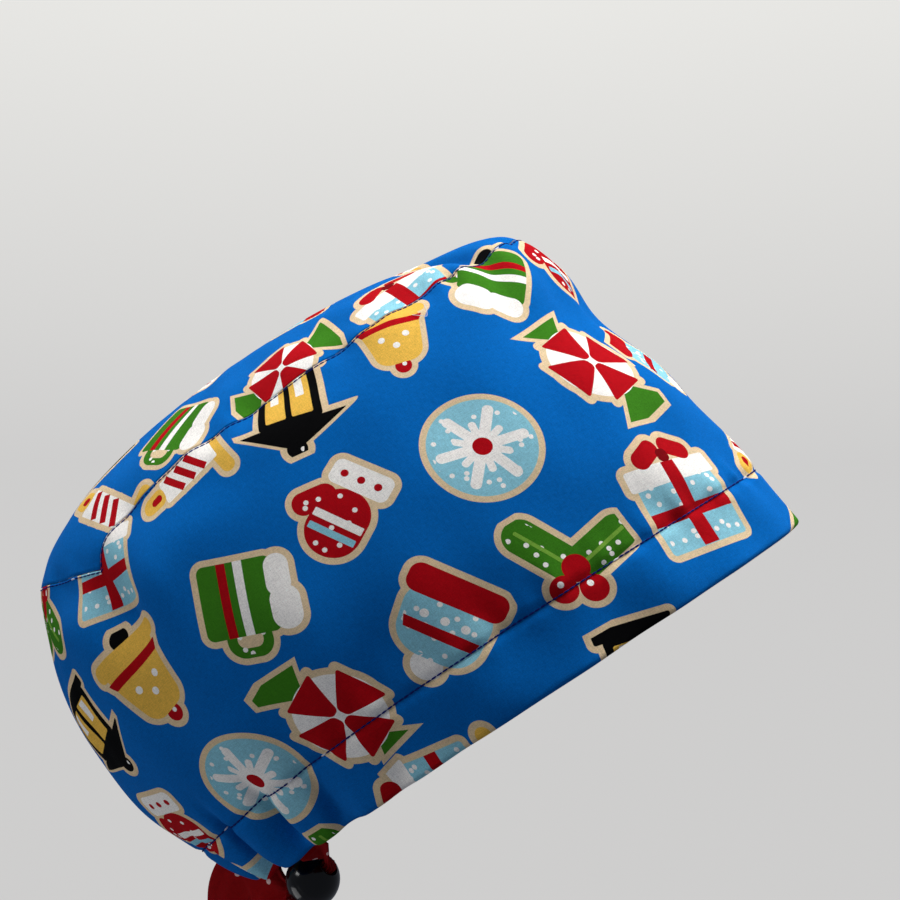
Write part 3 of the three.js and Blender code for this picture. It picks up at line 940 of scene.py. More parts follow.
@dataclass(frozen=True)
class PrintedCotton(PlainWeave):
    """Plain-weave cotton printed with scattered winter motifs.

    Attributes:
        spacing: Distance between the motifs, in metres.
        scatter: How far they stray from an even layout.
        border: Width of the biscuit border, in millimetres.
        shrink: Factor on the coordinates of the smallest motifs.
        size_range: How far that factor falls for the largest ones.
        dotted_layers: How many of a motif's first bars carry small white dots.
        dot_margin: Width of a motif's rim without dots, in millimetres.
        slide: Where the layout starts on the cloth, in metres.
    """

    spacing: float = 0.050
    scatter: float = 0.26
    border: float = 2.0
    shrink: float = 0.92
    size_range: float = 0.14
    dotted_layers: int = 2
    dot_margin: float = 1.1
    slide: tuple[float, float, float] = (0.115, 0.021, 0.0)

    def build(self, name: str, side: ClothFace) -> bpy.types.Material:
        """Make the material.

        Args:
            name: The material's name.
            side: Whether the print is at full strength or shows through from behind.

        Returns:
            The material.
        """
        bench = Bench(name)
        cloth = bench.node("UVMap", uv_map="cloth").outputs[0]
        colour = self.ink_colour(bench, bench.vector("ADD", cloth, self.slide))
        if side is ClothFace.WRONG:
            colour = bench.mix(0.45, colour, (*linear(60, 110, 170), 1))
        return self.finish(bench, cloth, colour)

    def ink_colour(self, bench: Bench, cloth: bpy.types.NodeSocket) -> bpy.types.NodeSocket:
        """Print the motifs.

        Args:
            bench: The material's bench.
            cloth: The place on the cloth, in metres.

        Returns:
            The colour of the print.
        """
        layout = {"Vector": cloth, "Scale": 1 / self.spacing, "Randomness": self.scatter}
        cells = bench.cells(layout)
        edges = bench.cells(layout, "DISTANCE_TO_EDGE")
        pick = bench.node("SeparateColor", {"Color": cells.outputs["Color"]})
        local = bench.vector("SUBTRACT", cloth, cells.outputs["Position"])
        local = bench.vector("MULTIPLY", local, (1 / MM, 1 / MM, 0))
        local = bench.turned(local, bench.math("MULTIPLY", pick.outputs["Green"], 2 * math.pi))
        size = bench.math("MULTIPLY_ADD", pick.outputs["Blue"], -self.size_range, self.shrink)
        local = bench.scaled(local, size)
        index = self.motif_index(bench, cells.outputs["Position"])
        inside: bpy.types.NodeSocket | None = None
        paint: bpy.types.NodeSocket | None = None
        for layer in range(max(len(motif) for motif in MOTIFS)):
            marks = [motif[layer] if layer < len(motif) else NO_MARK for motif in MOTIFS]
            reach = self.mark_distance(bench, local, index, marks)
            ink = bench.lookup(index, [mark.ink.value for mark in marks])
            within = bench.math("LESS_THAN", reach, 0.0)
            paint = ink if paint is None else bench.mix(within, paint, ink)
            inside = reach if inside is None else bench.math("MINIMUM", inside, reach)
            if layer == self.dotted_layers - 1:
                dots = bench.cells({"Vector": local, "Scale": 0.19})
                dotted = bench.math("LESS_THAN", dots.outputs["Distance"], 0.15)
                clear = bench.math("LESS_THAN", inside, -self.dot_margin)
                dotted = bench.math("MULTIPLY", dotted, clear)
                paint = bench.mix(dotted, paint, (*Ink.WHITE.value, 1))
        cut = bench.math("MULTIPLY_ADD", edges.outputs["Distance"], -self.spacing / MM, self.border + 0.2)
        bound = bench.math("MAXIMUM", inside, cut)
        bordered = bench.mix(bench.math("LESS_THAN", bound, 0.0), (*Ink.BISCUIT.value, 1), paint)
        return bench.mix(bench.math("LESS_THAN", bound, self.border), (*Ink.BLUE.value, 1), bordered)

    def motif_index(self, bench: Bench, place: bpy.types.NodeSocket) -> bpy.types.NodeSocket:
        """Pick a motif so that equal ones are more than two cells apart.

        Args:
            bench: The material's bench.
            place: The middle of the motif's cell, in metres.

        Returns:
            A number between 0 and 1 that stands for the motif.
        """
        cell = bench.vector("MULTIPLY", place, (1 / self.spacing, 1 / self.spacing, 0))
        cell = bench.vector("FLOOR", bench.vector("ADD", cell, (self.scatter, self.scatter, 0)))
        steps = bench.vector("MULTIPLY", cell, (3 / len(MOTIFS), 1 / len(MOTIFS), 0))
        total = bench.math("ADD", bench.part(steps, "X"), bench.part(steps, "Y"))
        return bench.math("FRACT", bench.math("ADD", total, 0.5 / len(MOTIFS)))

    def mark_distance(
        self, bench: Bench, local: bpy.types.NodeSocket, index: bpy.types.NodeSocket, marks: Sequence[Mark]
    ) -> bpy.types.NodeSocket:
        """Measure how far a point is outside one bar of its motif.

        Args:
            bench: The material's bench.
            local: The place in the motif, in millimetres.
            index: Which motif it is, 0 to 1.
            marks: The bar in each motif.

        Returns:
            The distance in millimetres, negative inside the bar.
        """
        place = bench.numbers(index, [(m.across, m.up, -math.radians(m.turn)) for m in marks])
        sizes = bench.numbers(
            index, [(m.half_wide - m.corner, m.half_tall - m.corner, m.corner) for m in marks]
        )
        moved = bench.vector("SUBTRACT", local, place)
        moved = bench.turned(moved, bench.part(place, "Z"))
        wide, tall, corner = (bench.part(sizes, axis) for axis in "XYZ")
        if any(m.taper for m in marks):
            narrow = bench.numbers(index, [(m.taper / m.half_tall, 0, 0) for m in marks], 4.0)
            narrow = bench.math("MULTIPLY", bench.part(narrow, "X"), bench.part(moved, "Y"))
            widen = bench.math("MAXIMUM", bench.math("SUBTRACT", 1.0, narrow), 0.02)
            wide = bench.math("MULTIPLY", wide, widen)
        limit = bench.node("CombineXYZ", {"X": wide, "Y": tall, "Z": 1000.0}).outputs[0]
        over = bench.vector("SUBTRACT", bench.vector("ABSOLUTE", moved), limit)
        far = bench.vector("LENGTH", bench.vector("MAXIMUM", over, (0, 0, 0)))
        return bench.math("SUBTRACT", far, corner)


@dataclass(frozen=True)
class DottedCotton(PlainWeave):
    """Red plain-weave cotton with small pale dots."""

    roughness: float = 0.88
    sheen: float = 0.02
    shine: float = 0.05
    red: Colour = linear(140, 3, 8)
    dot: Colour = linear(226, 190, 186)
    spacing: float = 0.0135
    scatter: float = 0.35
    dot_radius: float = 0.0012

    def build(self, name: str) -> bpy.types.Material:
        """Make the material.

        Args:
            name: The material's name.

        Returns:
            The material.
        """
        bench = Bench(name)
        cloth = bench.node("UVMap", uv_map="cloth").outputs[0]
        cells = bench.cells({"Vector": cloth, "Scale": 1 / self.spacing, "Randomness": self.scatter})
        dots = bench.math("LESS_THAN", cells.outputs["Distance"], self.dot_radius / self.spacing)
        return self.finish(bench, cloth, bench.mix(dots, (*self.red, 1), (*self.dot, 1)))


@dataclass(frozen=True)
class GlossyPlastic:
    """Polished black moulded plastic."""

    colour: Colour = linear(3, 3, 4)
    roughness: float = 0.16
    wear: float = 0.14

    def build(self, name: str) -> bpy.types.Material:
        """Make the material.

        Args:
            name: The material's name.

        Returns:
            The material.
        """
        bench = Bench(name)
        place = bench.node("TexCoord").outputs["Object"]
        handled = bench.noise(place, 300.0, 4.0, "3D")
        inputs = {
            "Base Color": (*self.colour, 1),
            "Roughness": bench.math("MULTIPLY_ADD", handled, self.wear, self.roughness - 0.06),
            "Specular IOR Level": 0.3,
            "Coat Weight": 0.15,
            "Coat Roughness": 0.08,
            "Normal": bench.bump(bench.noise(place, 160.0, 2.0, "3D"), 0.12, 0.0004),
        }
        return bench.finish(bench.node("BsdfPrincipled", inputs))


@dataclass(frozen=True)
class SewingThread:
    """Spun sewing thread."""

    colour: Colour

    def build(self, name: str) -> bpy.types.Material:
        """Make the material.

        Args:
            name: The material's name.

        Returns:
            The material.
        """
        bench = Bench(name)
        place = bench.node("TexCoord").outputs["Object"]
        twist = bench.noise(place, 2600.0, 1.0, "3D")
        shade = bench.grey(bench.math("MULTIPLY_ADD", twist, 0.9, 0.55))
        colour = bench.mix(1.0, (*self.colour, 1), shade, "MULTIPLY")
        inputs = {"Base Color": colour, "Roughness": 0.8, "Specular IOR Level": 0.1}
        return bench.finish(bench.node("BsdfPrincipled", inputs))


@dataclass
class Finishes:
    """The cap's materials, made once."""

    print_right: bpy.types.Material = field(init=False)
    print_wrong: bpy.types.Material = field(init=False)
    crown_right: bpy.types.Material = field(init=False)
    dotted: bpy.types.Material = field(init=False)
    plastic: bpy.types.Material = field(init=False)
    navy_thread: bpy.types.Material = field(init=False)
    white_thread: bpy.types.Material = field(init=False)

    def __post_init__(self) -> None:
        """Build every material."""
        self.print_right = PrintedCotton().build("printed cotton", ClothFace.RIGHT)
        self.print_wrong = PrintedCotton().build("printed cotton, wrong side", ClothFace.WRONG)
        crown_print = PrintedCotton(slide=(0.56, 0.33, 0.0))
        self.crown_right = crown_print.build("printed cotton, crown", ClothFace.RIGHT)
        self.dotted = DottedCotton().build("dotted cotton")
        self.plastic = GlossyPlastic().build("glossy plastic")
        self.navy_thread = SewingThread(linear(10, 26, 100)).build("navy thread")
        self.white_thread = SewingThread(linear(214, 212, 220)).build("white thread")


@dataclass
class SideBand:
    """The band round the head: one cloth that turns up inside to make the hem."""

    form: CapForm
    finishes: Finishes
    columns: int = 600
    upper_rows: int = 66
    upper_pace: float = 1.25
    inner_rows: int = 16
    hem_rows: int = 22
    lining_rows: int = 12
    fold_rows: int = 9
    edge_rows: int = 5
    edge_swell: float = 0.0002
    closes_from: float = 0.86
    layer_clear: float = 0.0001

    def closing(self, climb: float) -> float:
        """Return how far the turned-up layer leans out, a share of the way up to the stitches."""
        share = np.clip((climb - self.closes_from) / (1 - self.closes_from), 0, 1) ** 2
        return share * (self.form.hem_thick - 2 * self.form.cloth - self.layer_clear)

    def build(self) -> bpy.types.Object:
        """Make the band: down its outer face, round the fold, up the hem and down and up inside.

        Returns:
            The band.
        """
        form = self.form
        turns = form.columns(self.columns)
        climb = form.climbed(turns)
        top = form.seam_level(turns) - form.seam_gap / 2 / form.seam_spacing
        stitched = climb.level_at(form.hem_depth)
        rows: list[np.ndarray] = []
        marks: list[np.ndarray] = []
        slots: list[int] = []

        def add(level: np.ndarray, inside: float, slot: int, drop: float = 0.0, sign: int = 1) -> None:
            """Add one ring of the cloth's profile.

            Args:
                level: The ring's level at each column.
                inside: Its distance inside the outer face.
                slot: The material slot of the faces that follow it.
                drop: How far it lies below the folded edge.
                sign: 1 on the outer layer and -1 on the turned-up one.
            """
            height = climb.height_at(level)
            groove = form.stitch_groove * bell((height - form.hem_depth) / form.groove_width)
            points = form.shell(turns, level, inside + (groove if sign > 0 else 0.0))
            if drop:
                points = points + form.edge_down(turns) * drop
            rows.append(form.worn(points))
            marks.append(sign * height - drop)
            slots.append(slot)

        for i in range(self.upper_rows):
            share = 1 - (1 - i / self.upper_rows) ** self.upper_pace
            add(top + (stitched - top) * share, 0.0, 0)
        for i in range(self.hem_rows):
            add(climb.level_at(form.hem_depth * (1 - i / self.hem_rows)), 0.0, 0)
        for i in range(self.fold_rows):
            angle = math.pi * i / (self.fold_rows - 1)
            inside = form.hem_thick * (1 - math.cos(angle)) / 2
            sign = 1 if i < self.fold_rows / 2 else -1
            add(np.zeros_like(turns), inside, 0, form.edge_drop * math.sin(angle), sign)
        shares = [i / self.lining_rows for i in range(self.lining_rows + 1)]
        for share in shares[1:]:
            inside = form.hem_thick - self.closing(share)
            add(climb.level_at(form.hem_depth * share), inside, 0, 0.0, -1)
        for share in shares[:0:-1]:
            inside = form.hem_thick - form.cloth - self.closing(share)
            add(climb.level_at(form.hem_depth * share), inside, 1, 0.0, -1)
        for share in shares[:-1]:
            add(climb.level_at(form.hem_depth * share), form.cloth, 1)
        for i in range(self.inner_rows + 1):
            add(stitched + (top - stitched) * (i / self.inner_rows), form.cloth, 1)
        for i in range(1, self.edge_rows):
            angle = math.pi * i / self.edge_rows
            swell = self.edge_swell * math.sin(angle)
            add(top + swell, form.cloth * (1 + math.cos(angle)) / 2, 1)
        heights = np.array(marks)
        heights = np.hstack([heights, heights[:, :1]])
        heights = np.vstack([heights, heights[:1]])
        around = form.around(np.append(turns, 180.0))
        uv = np.stack([np.broadcast_to(around, heights.shape), heights], axis=-1)
        surface = Surface(np.array(rows), uv, row_loop=True, slots=np.array(slots))
        return surface.build("band_cloth", [self.finishes.print_right, self.finishes.print_wrong])


@dataclass
class CrownPanel:
    """The panel over the top of the head and the pouch."""

    form: CapForm
    finishes: Finishes
    columns: int = 440
    outer_rows: int = 62
    inner_rows: int = 30
    edge_rows: int = 4
    edge_swell: float = 0.0004
    pole_clear: float = 0.02

    def build(self) -> bpy.types.Object:
        """Make the panel: down its inner face, round its edge and up its outer face.

        Returns:
            The panel.
        """
        form = self.form
        turns = form.columns(self.columns)
        climb = form.climbed(turns)
        start = form.seam_level(turns) + form.seam_gap / 2 / form.seam_spacing
        pole = form.smooth(np.zeros(1), np.full(1, float(TOP_LEVEL)))[0]
        rows: list[np.ndarray] = []
        flat: list[np.ndarray] = []
        slots: list[int] = []

        def add(share: float, inside: float, slot: int) -> None:
            """Add one ring, a share of the way from the seam to the top.

            Args:
                share: The share, 0 to 1.
                inside: Its distance inside the outer face.
                slot: The material slot of the faces that follow it.
            """
            level = start + (TOP_LEVEL - self.pole_clear - start) * share
            heading = unit((form.smooth(turns, level) - pole)[:, :2])
            rows.append(form.worn(form.shell(turns, level, inside)))
            flat.append(heading * (climb.lengths[-1] - climb.height_at(level))[:, None])
            slots.append(slot)

        for i in range(self.inner_rows, -1, -1):
            add(i / self.inner_rows, form.cloth, 1)
        for i in range(1, self.edge_rows):
            angle = math.pi * i / self.edge_rows
            add(-self.edge_swell * math.sin(angle), form.cloth * (1 + math.cos(angle)) / 2, 1)
        for i in range(self.outer_rows + 1):
            add(i / self.outer_rows, 0.0, 0)
        uv = np.array(flat)
        uv = np.concatenate([uv, uv[:, :1]], axis=1)
        uv = np.concatenate([uv, uv[:1]], axis=0)
        surface = Surface(np.array(rows), uv, row_loop=False, ends=Ends.FAN, slots=np.array(slots))
        return surface.build("crown_cloth", [self.finishes.crown_right, self.finishes.print_wrong])


@dataclass
class Route:
    """A smooth path through given points, measured by its length.

    Attributes:
        points: The points, one row each.
        even: Whether the curve's pace ignores how far apart the points are.
    """

    points: np.ndarray
    even: bool = False
    samples: int = 240

    def __post_init__(self) -> None:
        """Sample the curve and measure it."""
        given = np.asarray(self.points, float)
        if self.even:
            padded = np.vstack([given[:1], given, given[-1:]])
        else:
            padded = np.vstack([2 * given[0] - given[1], given, 2 * given[-1] - given[-2]])
        pieces = [self._piece(padded[i : i + 4]) for i in range(len(given) - 1)]
        self.curve = np.vstack([*pieces, given[-1:]])
        steps = np.linalg.norm(np.diff(self.curve, axis=0), axis=1)
        self.lengths = np.concatenate([[0], np.cumsum(steps)])

    def _piece(self, four: np.ndarray) -> np.ndarray:
        """Sample the curve between the middle two of four points.

        Args:
            four: The points, the middle two of which are joined.

        Returns:
            The samples, without the last point.
        """
        share = np.linspace(0, 1, self.samples, endpoint=False)[:, None]
        before, start, end, after = four
        if self.even:
            leave, arrive = (end - before) / 2, (after - start) / 2
        else:
            first, middle, last = (
                max(math.sqrt(float(np.linalg.norm(b - a))), 1e-5)
                for a, b in ((before, start), (start, end), (end, after))
            )
            leave = (start - before) / first - (end - before) / (first + middle) + (end - start) / middle
            arrive = (end - start) / middle - (after - start) / (middle + last) + (after - end) / last
            leave, arrive = leave * middle, arrive * middle
        bend = 3 * (end - start) - 2 * leave - arrive
        return start + share * (leave + share * (bend + share * (2 * (start - end) + leave + arrive)))

    @property
    def length(self) -> float:
        """Return the curve's length."""
        return float(self.lengths[-1])

    def at(self, share: float) -> np.ndarray:
        """Return the point a share of the length along."""
        wanted = share * self.length
        return np.array([np.interp(wanted, self.lengths, column) for column in self.curve.T])

    def heading(self, share: float) -> np.ndarray:
        """Return the direction of travel there."""
        return unit(self.at(min(share + 0.002, 1.0)) - self.at(max(share - 0.002, 0.0)))


class RouteRow(NamedTuple):
    """A row of a tie's route: shares of the tie's length, and the turn of its face in degrees."""

    left: float
    back: float
    up: float
    face: float


UPPER_ROUTE = (
    RouteRow(0, 0, 0, 0),
    RouteRow(0.04, 0.08, 0.01, 0),
    RouteRow(0.09, 0.165, 0.03, 4),
    RouteRow(0.13, 0.24, 0.02, 8),
    RouteRow(0.16, 0.29, -0.05, 16),
    RouteRow(0.18, 0.305, -0.17, 28),
    RouteRow(0.19, 0.305, -0.36, 40),
    RouteRow(0.19, 0.3, -0.63, 48),
)
LOWER_ROUTE = (
    RouteRow(0, 0, 0, 0),
    RouteRow(-0.01, 0.04, -0.09, 0),
    RouteRow(0, 0.08, -0.2, 8),
    RouteRow(0.01, 0.1, -0.36, 18),
    RouteRow(0.02, 0.105, -0.56, 28),
    RouteRow(0.02, 0.1, -0.95, 36),
)


@dataclass
class Drawtape:
    """The dotted tape: its run in the hem, its gathered neck, the lock on it and its two free ties."""

    form: CapForm
    finishes: Finishes
    lock_diameter: float = 0.020
    lock_bore: float = 0.007
    lock_lip: float = 0.0006
    lip_inset: float = 0.0003
    parting_depth: float = 0.00012
    parting_width: float = 0.0003
    bore_clear: float = 0.00045
    bunch_past: float = 0.001
    tape_half: float = 0.0002
    neck_thick: float = 0.0007
    neck_columns: int = 40
    neck_pace: float = 1.15
    pleats: int = 11
    pleat_share: float = 0.3
    tie_width: float = 0.024
    tie_thick: float = 0.0016
    tie_length: float = 0.100
    tie_pleat: float = 0.0021
    tie_curl: float = 0.0012
    spread_share: float = 0.2
    root_thick: float = 0.42
    root_offset: float = 0.52
    bore_heading: tuple[float, float, float] = (0.3, 0.7, -0.65)

    def __post_init__(self) -> None:
        """Work out where the lock and the bunch of tape are."""
        self.lock_middle = np.mean(np.array(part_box("cord_lock"), dtype=float), axis=0)
        self.bore_axis = unit(np.array(self.bore_heading))
        self.bunch_radius = self.lock_bore / 2 - self.bore_clear
        lock_end = math.sqrt((self.lock_diameter / 2) ** 2 - (self.lock_bore / 2) ** 2)
        self.bunch_start = self.lock_middle - self.bore_axis * (lock_end + self.bunch_past)
        self.bunch_end = self.lock_middle + self.bore_axis * (lock_end + self.bunch_past)

    def build_tape(self) -> bpy.types.Object:
        """Make the stretch of tape inside the hem.

        Returns:
            The tape.
        """
        form = self.form
        end, start = form.slot_ends()
        turns = np.linspace(start, end + 360, 420)
        climb = form.climbed(turns)
        foot_distance = (form.hem_depth - form.tape_width) / 2
        foot = climb.level_at(foot_distance)
        head = climb.level_at(foot_distance + form.tape_width)
        shares = np.linspace(0, 1, 5)
        middle = form.hem_thick / 2
        profile = [(share, middle - self.tape_half) for share in shares]
        profile += [(share, middle + self.tape_half) for share in shares[::-1]]
        lines = [form.shell(turns, foot + (head - foot) * share, inside) for share, inside in profile]
        points = np.stack([form.worn(line) for line in lines], axis=1)
        across = np.array([*shares, *shares[::-1], 0]) * form.tape_width
        along = form.around(signed_turn(turns))
        uv = cloth_places(across, np.append(along, along[-1]))[..., ::-1]
        surface = Surface(points, uv, row_loop=False, ends=Ends.LADDER)
        return surface.build("hem_tape", [self.finishes.dotted])

    def _neck_sections(self) -> list[np.ndarray]:
        """Return the part's own sections of the neck, from the hem to past the lock."""
        form = self.form
        low, high = form.slot_ends()
        spare = form.tape_thick / form.exit_width * (high - low)
        turns = np.linspace(high - spare, low + spare, self.neck_columns)
        near, far = (form.hem_thick - self.neck_thick) / 2, (form.hem_thick + self.neck_thick) / 2
        foot = form.level_above(turns, (form.hem_depth - form.tape_width) / 2)

        def flat(level: np.ndarray, drop: float) -> np.ndarray:
            """Return a flat section at a level or below the folded edge.

            Args:
                level: The level at each column.
                drop: How far it lies below the folded edge.

            Returns:
                The points, out along one face and back along the other.
            """
            down = form.edge_down(turns) * drop
            outer = form.worn(form.shell(turns, level, near) + down)
            inner = form.worn(form.shell(turns, level, far) + down)
            return np.vstack([outer, inner[::-1]])

        mouth = flat(np.zeros_like(turns), form.edge_drop + form.cloth)
        wide = unit(mouth[0] - mouth[self.neck_columns - 1])
        side = unit(wide - self.bore_axis * float(wide @ self.bore_axis))
        out = unit(np.cross(side, self.bore_axis))
        angle = math.pi * (np.arange(len(mouth)) + 0.5) / self.neck_columns
        pleat = self.pleat_share * (0.5 + 0.5 * np.cos(self.pleats * angle))
        radius = self.bunch_radius * (1 - pleat)
        ring = side * (radius * np.cos(angle))[:, None] - out * (radius * np.sin(angle))[:, None]
        gathered = self.bunch_start + ring
        between = []
        for share in np.linspace(0.08, 0.92, 12):
            ease = 1 - (1 - share) ** self.neck_pace
            between.append(mouth * (1 - ease) + gathered * ease)
        hidden = [flat(foot * share, 0.0) for share in (1, 0.8, 0.6, 0.4, 0.2, 0)]
        return [*hidden, mouth, *between, gathered, self.bunch_end + ring]

    def build_neck(self) -> bpy.types.Object:
        """Make the gathered neck of the tape, from the slot through the lock.

        Returns:
            The neck.
        """
        rows = np.array(self._neck_sections())
        steps = np.linalg.norm(np.diff(rows.mean(axis=1), axis=0), axis=1)
        along = np.concatenate([[0], np.cumsum(steps)])
        across = np.abs(np.linspace(-1, 1, rows.shape[1] + 1)) * self.form.exit_width
        uv = cloth_places(across, np.append(along, along[-1]))
        surface = Surface(rows, uv, row_loop=False, ends=Ends.LADDER)
        return surface.build("gathered_neck", [self.finishes.dotted])

    def build_lock(self) -> bpy.types.Object:
        """Make the ball lock, with rounded mouths to its bore and a fine parting line.

        Returns:
            The lock.
        """
        radius, bore, lip = self.lock_diameter / 2, self.lock_bore / 2, self.lock_lip
        mouth = math.acos(bore / radius)
        mouth_clear = 0.06
        end = radius * math.sin(mouth)
        lip_height = end - lip - self.lip_inset
        profile = []
        for angle in np.linspace(-mouth + mouth_clear, mouth - mouth_clear, 46):
            height = radius * math.sin(angle)
            parting = self.parting_depth * math.exp(-((height / self.parting_width) ** 2))
            profile.append((radius * math.cos(angle) - parting, height))
        for angle in np.linspace(math.pi / 3, math.pi, 5):
            profile.append((bore + lip + lip * math.cos(angle), lip_height + lip * math.sin(angle)))
        for height in np.linspace(end - 2 * lip, -end + 2 * lip, 10):
            profile.append((bore, height))
        for angle in np.linspace(math.pi, 5 * math.pi / 3, 5):
            profile.append((bore + lip + lip * math.cos(angle), -lip_height + lip * math.sin(angle)))
        side = unit(np.cross(self.bore_axis, np.array([0.0, 0.0, 1.0])))
        out = np.cross(side, self.bore_axis)
        turns = np.linspace(0, 2 * math.pi, 72, endpoint=False)
        spokes = np.cos(turns)[:, None] * side + np.sin(turns)[:, None] * out
        rows = np.array([self.lock_middle + r * spokes + z * self.bore_axis for r, z in profile])
        uv = cloth_places(np.linspace(0, 0.06, len(turns) + 1), np.linspace(0, 0.05, len(rows) + 1))
        return Surface(rows, uv, row_loop=True).build("lock_ball", [self.finishes.plastic])

    def build_tie(self, name: str, route: Sequence[RouteRow], side: int) -> bpy.types.Object:
        """Make a tie: doubled cloth, pinched at the lock and flat over the rest.

        Args:
            name: The piece's name.
            route: The tie's route from the lock.
            side: 1 for the tie on the inner side of the bunch, -1 for the outer one.

        Returns:
            The tie.
        """
        path = Route(np.array([[row.left, row.back, row.up] for row in route]) * self.tie_length)
        faces = Route(np.array([[i, row.face] for i, row in enumerate(route)], float), even=True)
        start = self.bunch_end + self.bore_axis * self.form.tape_clear
        root_half = self.bunch_radius * self.root_thick
        steps = 90
        rim = np.linspace(0, 2 * math.pi, 32, endpoint=False)
        across = np.sign(np.cos(rim)) * np.abs(np.cos(rim)) ** 0.75
        through = np.sign(np.sin(rim)) * np.abs(np.sin(rim)) ** 0.35
        rows = []
        for i in range(steps + 1):
            share = i / steps
            along = path.heading(share) if i else self.bore_axis
            face = math.radians(faces.at(share)[1])
            out = np.array([-math.cos(face), math.sin(face), 0.0])
            wide = unit(np.cross(along, out))
            out = np.cross(wide, along)
            spread = np.clip(share / self.spread_share, 0, 1)
            spread = spread * spread * (3 - 2 * spread)
            half_wide = self.bunch_radius + (self.tie_width / 2 - self.bunch_radius) * spread
            half_thick = root_half + (self.tie_thick / 2 - root_half) * spread
            middle = path.at(share) + start - out * side * self.bunch_radius * self.root_offset
            pleats = self.tie_pleat * (1 - 0.6 * spread) * (np.abs(np.sin(across * 4 + side)) - 0.5)
            curl = self.tie_curl * spread * (across**2 - 0.4) * math.sin(2.4 * math.pi * share + side)
            hem = -0.25 * half_thick * bell((np.abs(across) - 0.86) / 0.03)
            lift = through * (half_thick + hem) + curl + pleats
            rows.append(middle + np.outer(across * half_wide, wide) + np.outer(lift, out))
        back_face = 0.04
        wrap = across * self.tie_width / 2 + np.where(through > 0, 0.0, back_face)
        wrap = np.append(wrap, across[0] * self.tie_width / 2 + back_face)
        uv = cloth_places(wrap, np.linspace(0, path.length, steps + 2))
        surface = Surface(np.array(rows), uv, row_loop=False, ends=Ends.FAN)
        return surface.build(name, [self.finishes.dotted])


